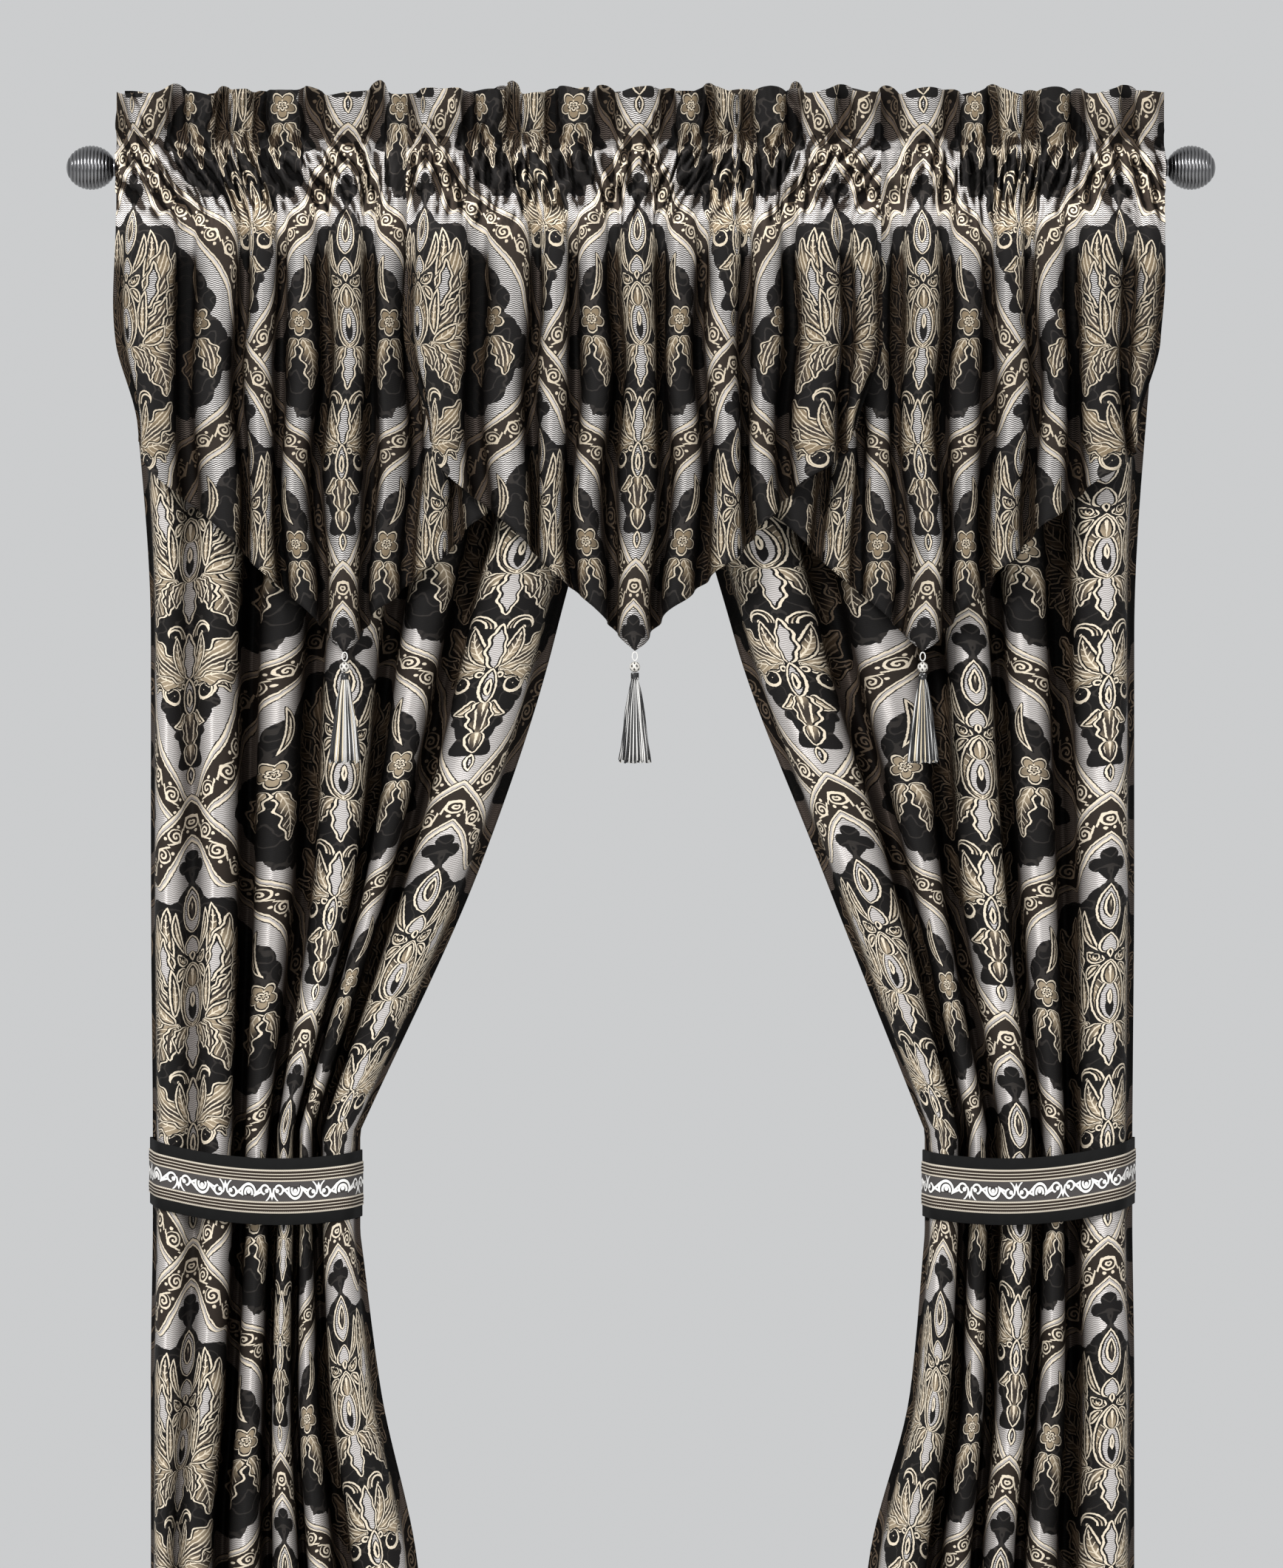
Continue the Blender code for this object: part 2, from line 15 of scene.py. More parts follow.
import bmesh
import bpy
import numpy as np
from bmesh.types import BMesh
from bpy.types import Material, NodeTree, Object
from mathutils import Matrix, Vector


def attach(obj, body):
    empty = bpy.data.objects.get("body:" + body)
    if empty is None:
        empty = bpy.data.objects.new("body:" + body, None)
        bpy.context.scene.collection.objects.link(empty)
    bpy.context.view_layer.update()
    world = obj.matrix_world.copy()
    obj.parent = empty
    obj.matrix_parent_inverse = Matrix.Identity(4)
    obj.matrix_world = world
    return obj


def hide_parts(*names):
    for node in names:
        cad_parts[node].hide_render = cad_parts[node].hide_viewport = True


LOG = logging.getLogger("drape")
MM = 0.001
ROOT = "root"
CLOTH_THICKNESS = 0.0010
Array = np.ndarray
Pair = tuple[float, float]
PHASES = (0, 6.28)  # the range that wave phases are drawn from

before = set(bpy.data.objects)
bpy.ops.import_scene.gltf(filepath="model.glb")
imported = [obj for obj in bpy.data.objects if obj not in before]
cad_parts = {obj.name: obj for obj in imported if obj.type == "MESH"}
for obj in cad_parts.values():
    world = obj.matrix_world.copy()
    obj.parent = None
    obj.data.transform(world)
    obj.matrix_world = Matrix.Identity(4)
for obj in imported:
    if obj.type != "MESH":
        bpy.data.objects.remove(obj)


# ---- curves through tables
class Track:
    """Monotone cubic curves through the rows of a table, read at many heights at once."""

    def __init__(self, heights: Sequence[float], rows: Sequence[Sequence[float]]) -> None:
        """Store the table.

        Args:
            heights: height of each row, from the top down.
            rows: the values at each height, one column for each curve.
        """
        self.places = -np.asarray(heights, dtype=float)
        self.values = np.asarray(rows, dtype=float)
        self.steps = np.diff(self.places)[:, None]
        slopes = np.diff(self.values, axis=0) / self.steps
        self.tangents = np.vstack((slopes[:1], np.zeros_like(slopes[1:]), slopes[-1:]))
        for i in range(1, len(slopes)):
            same = slopes[i - 1] * slopes[i] > 0
            total = np.where(same, slopes[i - 1] + slopes[i], 1.0)
            self.tangents[i] = np.where(same, 2 * slopes[i - 1] * slopes[i] / total, 0.0)

    def at(self, heights: Array) -> Array:
        """Values at the given heights.

        Args:
            heights: any heights; past the table's ends its end rows hold.

        Returns:
            One row of values for each height.
        """
        place = np.clip(-np.asarray(heights, dtype=float), self.places[0], self.places[-1])
        i = np.clip(np.searchsorted(self.places, place, side="right") - 1, 0, len(self.steps) - 1)
        step = self.steps[i]
        t = ((place - self.places[i]) / step[:, 0])[:, None]
        return (
            self.values[i] * (1 + 2 * t) * (1 - t) ** 2
            + self.tangents[i] * step * t * (1 - t) ** 2
            + self.values[i + 1] * t * t * (3 - 2 * t)
            - self.tangents[i + 1] * step * t * t * (1 - t)
        )


def ramp(value: Array, start: float, end: float) -> Array:
    """0 at start and before it, 1 at end and past it, smooth between."""
    t = np.clip((np.asarray(value, dtype=float) - start) / (end - start), 0.0, 1.0)
    return t * t * (3 - 2 * t)


def rise(value: Array, start: float, length: float) -> Array:
    """0 up to start, 1 from a length past it, straight between."""
    return np.clip((value - start) / length, 0, 1)


def running(steps: Array) -> Array:
    """Running total down the rows, from 0."""
    return np.concatenate((np.zeros_like(steps[:1]), np.cumsum(steps, axis=0)))


class Crumple:
    """A crumpled height field: ridged waves across a flat cloth in many directions."""

    bend = 0.35  # how far the ridges bow, and how often
    bend_rate = 0.31

    def __init__(self, seed: int, waves: Sequence[Pair]) -> None:
        """Draw the waves' directions.

        Args:
            seed: seed of the directions and phases.
            waves: length in millimetres and share of each wave.
        """
        chance = random.Random(seed)
        self.waves = [
            (2 * pi / length, share, chance.uniform(0, pi), chance.uniform(*PHASES))
            for length, share in waves
        ]

    def at(self, u: Array, v: Array) -> Array:
        """Height of the field.

        Args:
            u: places across the flat cloth, in millimetres.
            v: places down it.

        Returns:
            Heights from 0 to about 1, in the shape that u and v share.
        """
        total = np.zeros(np.broadcast(u, v).shape)
        for k, share, turn, phase in self.waves:
            along = u * sin(turn) - v * cos(turn)
            bow = self.bend * np.sin(self.bend_rate * k * along + 2 * phase)
            across = k * (u * cos(turn) + v * sin(turn)) + phase + bow
            total += share * (1 - np.abs(np.sin(across / 2)))
        return total


def recess(reach: Array, widths: Pair) -> Array:
    """How far each place of a grid lies behind the average of its surroundings, in the grid's own unit.

    Args:
        reach: how far forward each place is, rows by columns.
        widths: spread of the surroundings, in rows and in columns.

    Returns:
        Array of the same shape, above 0 in hollows and below 0 on ridges.
    """
    around = reach
    for axis, width in enumerate(widths):
        margin = math.ceil(2.5 * width)
        weights = np.exp(-0.5 * (np.arange(-margin, margin + 1) / width) ** 2)
        margins = [(margin, margin) if axis == other else (0, 0) for other in (0, 1)]
        padded = np.pad(around, margins, mode="edge")
        count = reach.shape[axis]
        parts = [np.take(padded, range(i, i + count), axis) * weight for i, weight in enumerate(weights)]
        around = sum(parts) / weights.sum()
    return around - reach


# ---- shapes of the hanging cloth
class Fold(NamedTuple):
    """A crest or trough of a tied-back panel, outer edge first.

    reach is 0 at the back plane and 1 at the front; cloth is its place across the flat cloth. The other
    values are its x at the heading, below the valances, half way to the band, in it, below it, at the knee
    and the hem, all in millimetres.
    """

    reach: float
    cloth: float
    heading: float
    swag: float
    middle: float
    band: float
    below: float
    knee: float
    hem: float


class Gather(NamedTuple):
    """A crest or trough of a valance: reach, place across the flat cloth, and x from its point, in mm."""

    reach: float
    cloth: float
    heading: float
    body: float


class Station(NamedTuple):
    """Where the cloth lies in front of the rod's axis at a height: behind + depth * reach, in millimetres."""

    height: float
    behind: float
    depth: float


LEFT_FOLDS = tuple(map(Fold._make, (
    (0.06, -78, -489, -466, -466, -464, -466, -466, -466),
    (0.96, -26, -452, -447, -447, -446, -448, -450, -446),
    (0.60, 0, -418, -427, -424, -423, -430, -440, -430),
    (0.95, 27, -385, -404, -403, -404, -412, -424, -410),
    (0.00, 66, -342, -370, -373, -380, -388, -398, -384),
    (0.84, 90, -300, -340, -348, -363, -369, -375, -357),
    (0.04, 135, -260, -309, -319, -348, -353, -355, -331),
    (0.92, 180, -221, -272, -284, -337, -341, -335, -305),
    (0.16, 225, -183, -236, -262, -326, -328, -320, -280),
    (0.86, 270, -144, -207, -244, -318, -316, -306, -255),
    (0.10, 315, -106, -178, -228, -308, -302, -285, -225),
    (1.00, 360, -54, -131, -187, -286, -276, -246, -188),
    (0.40, 420, -3, -81, -149, -266, -246, -212, -148),
)))
RIGHT_FOLDS = tuple(map(Fold._make, (
    (0.06, -60, 489, 469, 469, 467, 469, 469, 469),
    (0.98, 0, 436, 440, 443, 440, 444, 443, 440),
    (0.02, 48, 386, 395, 401, 406, 408, 402, 402),
    (0.86, 90, 342, 363, 375, 391, 388, 377, 372),
    (0.12, 135, 304, 337, 350, 376, 372, 360, 346),
    (0.95, 180, 258, 311, 326, 357, 352, 338, 316),
    (0.04, 225, 212, 278, 290, 333, 330, 318, 286),
    (0.84, 270, 168, 226, 265, 317, 314, 299, 260),
    (0.06, 315, 122, 187, 245, 307, 300, 280, 232),
    (1.00, 360, 58, 132, 202, 285, 276, 248, 192),
    (0.38, 420, 4, 88, 167, 269, 255, 216, 150),
)))
PANEL_FRONT = tuple(map(Station._make, (
    (0.0800, -1.3, 5.0), (0.0220, 5.2, 4.5), (0.0085, 13.9, 5.0), (-0.0085, 13.9, 5.0),
    (-0.0300, 6.0, 6.0), (-0.0700, -4.0, 22.0), (-0.1200, -13.0, 33.0), (-0.2000, -22.0, 46.0),
    (-0.3200, -27.0, 54.0), (-0.4430, -29.0, 58.0), (-0.6530, -30.0, 60.0), (-0.8000, -29.0, 58.0),
    (-0.9120, -27.0, 54.0), (-1.0090, -27.0, 54.0), (-1.1600, -29.0, 59.0), (-1.3200, -30.0, 61.0),
    (-2.0540, -31.0, 63.0),
)))
PANEL_BACK = tuple(map(Station._make, (
    (0.0790, 4.7, -5.0), (0.0220, 7.0, 3.5), (0.0085, 13.9, 5.0), (-0.0085, 13.9, 5.0),
    (-0.0340, 12.0, 5.0),
)))
GATHERS = tuple(map(Gather._make, (
    (0.45, -392, -215, -215), (1.00, -335, -180, -181), (0.10, -292, -157, -148), (0.90, -250, -134, -115),
    (0.05, -204, -115, -94), (0.95, -163, -97, -76), (0.12, -125, -80, -59), (0.88, -88, -55, -40),
    (0.00, -46, -30, -21), (1.00, 0, 5, 3), (0.04, 46, 33, 25), (0.88, 88, 52, 43),
    (0.08, 126, 70, 64), (0.94, 166, 88, 85), (0.10, 208, 105, 105), (0.90, 252, 126, 123),
    (0.02, 294, 150, 143), (1.00, 337, 172, 172), (0.15, 372, 199, 199), (0.80, 396, 217, 217),
    (0.40, 416, 232, 232),
)))
HEADING_CRESTS = [gather.heading for gather in GATHERS]
BODY_CRESTS = [gather.body for gather in GATHERS]
# height, where the side valances and the centre one start, and how deep the folds are
VALANCE_FRONTS = (
    (0.0800, 5.0, 11.8, 7.0), (0.0230, 11.2, 16.2, 5.5), (0.0100, 20.6, 28.2, 6.5),
    (-0.0100, 20.6, 28.2, 6.5), (-0.0300, 14.6, 22.2, 7.5), (-0.0600, 19.2, 29.4, 13.0),
    (-0.1100, 19.0, 31.4, 19.0), (-0.2000, 24.0, 39.4, 25.0), (-0.3000, 29.0, 45.6, 28.0),
    (-0.4590, 33.0, 49.5, 27.0),
)
SIDE_VALANCE_FRONT = tuple(Station(z, side, depth) for z, side, _, depth in VALANCE_FRONTS)
CENTRE_VALANCE_FRONT = tuple(Station(z, centre, depth) for z, _, centre, depth in VALANCE_FRONTS)


class Side(Enum):
    """Left, centre and right, as seen from the front."""

    LEFT = "left"
    CENTRE = "centre"
    RIGHT = "right"

    def node(self, piece: str) -> str:
        """Name of this side's node of a piece."""
        return f"{piece}_{self.value}"


class Bend(NamedTuple):
    """A place on the way from a crest to a trough: how far across and how far down it lies, from 0 to 1."""

    place: float
    across: float
    drop: float


VALANCE_BENDS = tuple(map(Bend._make, (
    (0.00, 0.00, 0.00), (0.14, 0.22, 0.035), (0.27, 0.42, 0.13), (0.38, 0.57, 0.27), (0.48, 0.67, 0.42),
    (0.57, 0.72, 0.57), (0.66, 0.74, 0.71), (0.76, 0.77, 0.85), (0.87, 0.86, 0.96), (1.00, 1.00, 1.00),
)))
PANEL_BENDS = tuple(map(Bend._make, (
    (0.00, 0.00, 0.00), (0.14, 0.22, 0.03), (0.27, 0.41, 0.10), (0.38, 0.55, 0.21), (0.48, 0.65, 0.35),
    (0.57, 0.70, 0.50), (0.66, 0.72, 0.66), (0.76, 0.75, 0.81), (0.87, 0.85, 0.94), (1.00, 1.00, 1.00),
)))


def places_along(table: Sequence[Fold | Gather], steps: int) -> Array:
    """Places along a table, counted in its rows, with so many steps from each row to the next."""
    return np.arange((len(table) - 1) * steps + 1) / steps


def folded(
    crests: Array, table: Sequence[Fold | Gather], places: Array, amount: Array,
    bends: Sequence[Bend],
) -> tuple[Array, Array]:
    """x and reach of a folded cloth.

    Args:
        crests: x of every crest and trough, one row for each height.
        table: the crests and troughs.
        places: places along the table, counted in its rows.
        amount: 0 for even waves, 1 for broad crests with narrow valleys, for each height and place. Shallow
            folds stay even.
        bends: the shape from a crest to a trough.

    Returns:
        x and reach, both as arrays of heights by places.
    """
    reaches = np.array([line.reach for line in table])
    row = np.minimum(places.astype(int), len(reaches) - 2)
    t = places - row
    falling = reaches[row + 1] < reaches[row]
    way = np.where(falling, t, 1 - t)
    shape = Track([-bend.place for bend in bends], [(bend.across, bend.drop) for bend in bends]).at(-way)
    even = 0.5 - 0.5 * np.cos(pi * way)
    amount = amount * ramp(np.abs(reaches[row + 1] - reaches[row]), 0.15, 0.65)
    across = way + (shape[:, 0] - way) * amount
    drop = even + (shape[:, 1] - even) * amount
    crest = np.where(falling, crests[:, row], crests[:, row + 1])
    trough = np.where(falling, crests[:, row + 1], crests[:, row])
    high = np.maximum(reaches[row], reaches[row + 1])
    low = np.minimum(reaches[row], reaches[row + 1])
    return crest + (trough - crest) * across, high + (low - high) * drop


def lie_at(stations: Sequence[Station], heights: Array) -> tuple[Array, Array]:
    """Where the folds lie in front of the rod's axis.

    Args:
        stations: the table, from the top down.
        heights: of the wanted places.

    Returns:
        Where the folds start and how deep they are, in millimetres, both in the shape of the heights.
    """
    rows = Track([s.height for s in stations], [(s.behind, s.depth) for s in stations]).at(heights.ravel())
    return rows[:, 0].reshape(heights.shape), rows[:, 1].reshape(heights.shape)


def cloth_across(x: Array, y: Array, table: Sequence[Fold | Gather], steps: int) -> Array:
    """Places across the flat cloth: true to size on the crests, the rest taken up in the troughs.

    Where the fold is longer than its cloth, the cloth is spread evenly.

    Args:
        x: x of the folded line at one height.
        y: y of the same line.
        table: the crests and troughs.
        steps: points of the line from each row of the table to the next.

    Returns:
        The place of each point, in millimetres.
    """
    places = np.empty_like(x)
    for i, (row, after) in enumerate(zip(table, table[1:])):
        part = slice(i * steps, (i + 1) * steps + 1)
        along = running(np.hypot(np.diff(x[part]), np.diff(y[part])) / MM)
        total = along[-1]
        wanted = abs(after.cloth - row.cloth)
        if wanted < total:
            share = along * wanted / total
        elif row.reach > after.reach:
            share = along + (wanted - total) * (along / total) ** 3
        else:
            back = total - along
            share = wanted - (back + (wanted - total) * (back / total) ** 3)
        places[part] = row.cloth + math.copysign(1.0, after.cloth - row.cloth) * share
    return places


# ---- meshes
def linked(name: str, data: bpy.types.ID) -> Object:
    """A new object for some data, linked to the scene.

    Args:
        name: name of the object.
        data: its mesh, light or camera.

    Returns:
        The object.
    """
    made = bpy.data.objects.new(name, data)
    bpy.context.scene.collection.objects.link(made)
    return made


def mesh_object(name: str, mesh: bpy.types.Mesh) -> Object:
    """A new smooth object for a mesh."""
    mesh.shade_smooth()
    return linked(name, mesh)

def grid_object(
    name: str, points: Array, flat: Array, closed: bool = False, layer: str = "cloth"
) -> Object:
    """A smooth grid of four-sided faces with its flat places as a UV map.

    Args:
        name: name of the piece.
        points: array of rows by columns by 3, in metres; the face looks to -Y where columns run to +X and
            rows run down.
        flat: array of rows by columns by 2, the flat place of each point, in metres.
        closed: whether the last row joins the first one.
        layer: name of the UV map.

    Returns:
        The new object.
    """
    rows, columns = points.shape[:2]
    index = np.arange(rows * columns).reshape(rows, columns)
    after = np.roll(index, -1, axis=0) if closed else index[1:]
    before = index if closed else index[:-1]
    faces = np.stack((before[:, :-1], after[:, :-1], after[:, 1:], before[:, 1:]), axis=-1).reshape(-1, 4)
    mesh = bpy.data.meshes.new(name)
    mesh.from_pydata(points.reshape(-1, 3).tolist(), [], faces.tolist())
    places = flat.reshape(-1, 2)[faces.ravel()]
    if closed:  # the last row of faces runs on to the full length
        wrapped = np.zeros(faces.shape, dtype=bool)
        wrapped.reshape(rows, columns - 1, 4)[-1, :, 1:3] = True
        places[wrapped.ravel(), 1] = flat[-1, 0, 1] + (flat[1, 0, 1] - flat[0, 0, 1])
    mesh.uv_layers.new(name=layer).data.foreach_set("uv", places.astype(np.float32).ravel())
    return mesh_object(name, mesh)


def dress(piece: Object, slot: str, node: str, *materials: Material) -> None:
    """Finish a piece.

    Args:
        piece: the piece.
        slot: not used.
        node: the node that it stands for.
        materials: what it is made of.
    """
    for material in materials:
        piece.data.materials.append(material)
    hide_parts(node)
    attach(piece, ROOT)
    LOG.info("%s: %d faces", piece.name, len(piece.data.polygons))


def cloth_object(
    node: str, points: Array, flat: Array, painted_shade_and_sheen: Array,
    materials: Sequence[Material],
) -> Object:
    """A dressed piece of damask, solid towards its back.

    Args:
        node: the node that it stands for.
        points: array of rows by columns by 3, the places of the cloth's face in metres.
        flat: array of rows by columns by 2, the same places on the flat cloth.
        painted_shade_and_sheen: array of rows by columns, the shade painted on each place: 1 in the depth of
        the folds and 0 on their crests; below 0 it is a painted sheen that brightens the cloth there.
        materials: the cloth's face and its back.

    Returns:
        The new object.
    """
    piece = grid_object(node + "_cloth", points, flat)
    # the painted shade and sheen, which the damask's materials read
    shade = piece.data.attributes.new("painted_shade_and_sheen", "FLOAT", "POINT")
    shade.data.foreach_set("value", painted_shade_and_sheen.astype(np.float32).ravel())
    solid = piece.modifiers.new("thickness", "SOLIDIFY")
    solid.thickness = CLOTH_THICKNESS
    solid.offset = -1.0
    solid.use_even_offset = False
    solid.material_offset = 1
    dress(piece, "jacquard", node, *materials)
    return piece


# ---- panels
@dataclass
class Panel:
    """A tied-back panel whose heading wraps the rod."""

    side: Side
    folds: tuple[Fold, ...]
    seed: int
    steps: int = 14  # points from one row of the fold table to the next
    flat: Pair = (0.762, 2.134)
    top: float = 0.080
    hem: float = -2.054
    spacings: tuple[Pair, ...] = ((-0.060, 0.0040), (-1.100, 0.0085), (-2.050, 0.0150))
    turned: Pair = (-0.034, 0.079)  # ends of the part that is turned to the back
    turned_rows: int = 26
    motif_height: float = -0.6196  # where the damask's bands cross on the first fold
    measured: float = -0.55  # where the folds are measured against the flat cloth
    upper: tuple[float, ...] = (0.080, -0.060, -0.443, -0.653, -0.912)
    lower: tuple[float, ...] = (-1.009, -1.160, -1.320, -2.054)
    waist: float = -0.9605  # the middle of the tie band
    creases: tuple[Pair, ...] = ((95, 0.45), (61, 0.30), (38, 0.25))
    crease_depth: Pair = (0.0016, 0.0022)  # everywhere, and what the band's pull adds
    pull: Pair = (-0.96, 0.20)  # height and spread of the band's pull

    def heights(self) -> Array:
        """Heights of the rows down the front, closest at the heading.

        Returns:
            The heights, from the top down to the hem.
        """
        start = self.top
        parts = []
        for end, spacing in self.spacings:
            parts.append(np.arange(start, end, -spacing))
            start = end
        return np.concatenate((*parts, [self.hem]))

    def crests(self, heights: Array) -> Array:
        """x of every crest and trough.

        Args:
            heights: the wanted heights.

        Returns:
            Array of heights by folds, in metres.
        """
        high_rows = zip(*[(f.heading, f.heading, f.swag, f.middle, f.band) for f in self.folds])
        low_rows = zip(*[(f.band, f.below, f.knee, f.hem) for f in self.folds])
        above = Track(self.upper, list(high_rows))
        below = Track(self.lower, list(low_rows))
        high = (heights > self.lower[0])[:, None]
        return np.where(high, above.at(heights), below.at(heights)) * MM

    def surface(
        self, heights: Array, stations: Sequence[Station], back: bool
    ) -> tuple[Array, Array]:
        """The cloth's face.

        Args:
            heights: one for each row.
            stations: where the cloth lies in front of the rod, or behind it.
            back: whether this is the part turned to the back.

        Returns:
            Points as an array of rows by columns by 3, in metres, and the painted shade at each, deepest in
            the valleys.
        """
        places = places_along(self.folds, self.steps)
        amount = rise(-heights, 0.10, 0.15)[:, None]
        x, fold_reach = folded(self.crests(heights), self.folds, places, amount, PANEL_BENDS)
        gathers = 0.5 - 0.5 * np.cos(pi * places * 2.4 + 0.6 * np.sin(places * 2.3))
        reach = gathers + (fold_reach - gathers) * rise(-heights, 0.04, 0.12)[:, None]
        behind, depth = lie_at(stations, heights[:, None])
        y = (behind + depth * reach) * MM
        sag = 0.0105 + 0.0035 * np.sin(places * 2.1 + self.seed)
        z = heights[:, None] - sag * ramp(heights, 0.030, 0.080)[:, None]
        return np.stack((x, y if back else -y, z), axis=-1), 1 - reach

    def build(self, materials: Sequence[Material]) -> Object:
        """Make the panel.

        Args:
            materials: the cloth's face and its back.

        Returns:
            The panel.
        """
        heights = self.heights()
        behind, behind_painted_shade = self.surface(np.linspace(*self.turned, self.turned_rows), PANEL_BACK, True)
        front, front_painted_shade = self.surface(heights, PANEL_FRONT, False)
        row = int(np.argmin(np.abs(heights - self.measured)))
        across = cloth_across(front[row, :, 0], front[row, :, 1], self.folds, self.steps)
        front[:, :, 1] -= self.crease(across, heights)
        down = running(np.hypot(np.diff(front[:, :, 0], axis=0), np.diff(front[:, :, 2], axis=0)))
        start = np.interp(-self.motif_height, -heights, down[:, 2 * self.steps])
        turned_down = np.broadcast_to(behind[:, :1, 2] - self.top, behind.shape[:2])
        down = np.concatenate((turned_down, down)) - start
        flat = np.stack((np.broadcast_to(across * MM, down.shape), down), axis=-1)
        points = np.concatenate((behind, front))
        # the shade painted in the folds' valleys
        painted_shade_and_sheen = np.concatenate((behind_painted_shade, front_painted_shade))
        if self.side is Side.RIGHT:  # its table runs from right to left
            points, flat, painted_shade_and_sheen = points[:, ::-1], flat[:, ::-1], painted_shade_and_sheen[:, ::-1]
        piece = cloth_object(self.side.node("panel"), points, flat, painted_shade_and_sheen, materials)
        self.side.node("tie_band")
        return piece

    def crease(self, across: Array, heights: Array) -> Array:
        """Long soft creases along the folds, deeper towards the band and none inside it.

        Args:
            across: place of each column across the flat cloth, in millimetres.
            heights: one for each row.

        Returns:
            How far each point moves towards the front, in metres.
        """
        lift = Crumple(self.seed, self.creases).at(across[None, :], -heights[:, None] / MM * 0.22)
        near = np.exp(-(((heights - self.pull[0]) / self.pull[1]) ** 2))
        calm = 1 - ramp(np.abs(heights - self.waist), 0.074, 0.050)
        depth, extra = self.crease_depth
        amount = (depth + extra * near) * ramp(-heights, 0.10, 0.30) * calm
        return (lift - 0.5) * amount[:, None]


# ---- valances
@dataclass
class Valance:
    """One pointed, gathered valance with a ruffled heading above its shirred pocket.

    Its grid has a column for each place of the gather table. across is each column's place on the flat cloth
    in millimetres, and z is the height of each point.
    """

    side: Side
    tip_x: float
    stations: tuple[Station, ...]
    seed: int
    cover_edge: float | None = None  # x of the centre valance's edge, on a side valance
    steps: int = 18  # points from one row of the gather table to the next
    rows: tuple[int, int, int] = (26, 27, 74)  # down the ruffle, the pocket and the body
    tip: float = -0.4590
    corner_left: float = -0.2610
    corner_right: float = -0.2500
    top: float = 0.0755
    pinch_rise: float = 0.0085
    motif_height: float = 0.0163
    pocket: Pair = (0.0230, -0.0300)
    fold_depth: float = 0.035  # at which the folds are measured against the flat cloth
    across: Array = field(init=False)
    z: Array = field(init=False)
    points: Array = field(init=False)

    def __post_init__(self) -> None:
        """Lay the cloth's grid."""
        x, reach = self.folds(BODY_CRESTS, np.ones((1, 1)))
        self.across = cloth_across(x[0], -reach[0] * self.fold_depth, GATHERS, self.steps)
        self.z = self.heights(x[0] - x[0, int(np.argmin(np.abs(self.across)))])

    def folds(self, crests: Sequence[float], amount: Array) -> tuple[Array, Array]:
        """x and reach of the folds.

        Args:
            crests: x of every crest and trough from the point, in millimetres.
            amount: 0 for even waves, 1 for broad crests with narrow valleys.

        Returns:
            x in metres and reach, both as arrays of heights by places.
        """
        x = np.array([crests]) * MM + self.tip_x
        return folded(x, GATHERS, places_along(GATHERS, self.steps), amount, VALANCE_BENDS)

    def heights(self, hanging: Array) -> Array:
        """Heights of the whole grid, from the ruffle's wavy edge to the pointed hem.

        The hem is between straight on the flat cloth and straight as it hangs.

        Args:
            hanging: how far each column hangs from the point.

        Returns:
            Array of rows by columns.
        """
        upper, lower = self.pocket
        lines = []
        for places in (self.across, hanging):
            left = self.tip + (self.corner_left - self.tip) * places / places[0]
            right = self.tip + (self.corner_right - self.tip) * places / places[-1]
            lines.append(np.where(places < 0, left, right))
        on_cloth = np.where(hanging < 0, 0.2, 0.8)
        hem = lines[0] * on_cloth + lines[1] * (1 - on_cloth)
        even = self.folds(HEADING_CRESTS, np.zeros((1, 1)))[1][0]
        uneven = 0.25 + 0.75 * np.sin(self.across * 0.017 + 2 * self.seed) ** 2
        sag = 0.0062 * np.sin(self.across * 0.027 + self.seed) ** 2
        sag += 0.0030 * np.sin(self.across * 0.061) ** 2
        top = self.top + self.pinch_rise * uneven * (1 - even) ** 3 - sag
        ruffle, pocket, body = (np.linspace(0, 1, rows)[:, None] for rows in self.rows)
        return np.concatenate((
            upper + (top - upper) * ruffle[::-1],
            upper + (lower - upper) * pocket[1:] + np.zeros_like(top),
            lower + (hem - lower) * body[1:] ** 1.25,
        ))

    def build(self, materials: Sequence[Material]) -> Object:
        """Make the valance.

        Args:
            materials: the cloth's face and its back.

        Returns:
            The valance.
        """
        z, (upper, lower) = self.z, self.pocket
        amount = 0.25 + 0.45 * ramp(z, upper, 0.050) + 0.75 * ramp(-z, -lower, 0.085)
        x_heading, _ = self.folds(HEADING_CRESTS, amount)
        x_body, reach = self.folds(BODY_CRESTS, amount)
        blend = ramp(-z, lower, 0.060)
        x = x_heading * (1 - blend) + x_body * blend
        free = self.open_share(x)
        extra = 9.5 * ramp(z, 0.022, 0.045) + 8.0 * ramp(-z, 0.035, 0.110)  # in the ruffle and down the body
        behind, depth = lie_at(self.stations, z)
        depth = depth * (0.68 + 0.32 * free) + extra * free
        down = running(np.hypot(np.diff(z, axis=0), np.diff(behind, axis=0) * MM))
        down -= [np.interp(-self.motif_height, -z[:, i], down[:, i]) for i in range(len(self.across))]
        small = self.gathers(down / MM) * free
        pressed = np.maximum(small, -0.6 - 20 * ramp(-z, 0.04, 0.09))  # no deeper than the cloth behind
        forward = (behind + depth * reach) * MM + pressed * MM
        self.points = np.stack((x + self.swing(), -forward, z), axis=-1)
        flat = np.stack((np.broadcast_to(self.across * MM, z.shape), down), axis=-1)
        node = self.side.node("valance")
        piece = cloth_object(node, self.points, flat, self.painted_shade_and_sheen(reach, small), materials)
        return piece

    def open_share(self, x: Array) -> Array:
        """How freely the valance hangs.

        Args:
            x: of the wanted places.

        Returns:
            1 where it hangs open, 0 where the centre valance presses on it.
        """
        if self.cover_edge is None:
            return np.ones_like(x)
        inside = x - self.cover_edge if self.side is Side.LEFT else self.cover_edge - x
        return 1 - rise(inside, -0.045, 0.040)

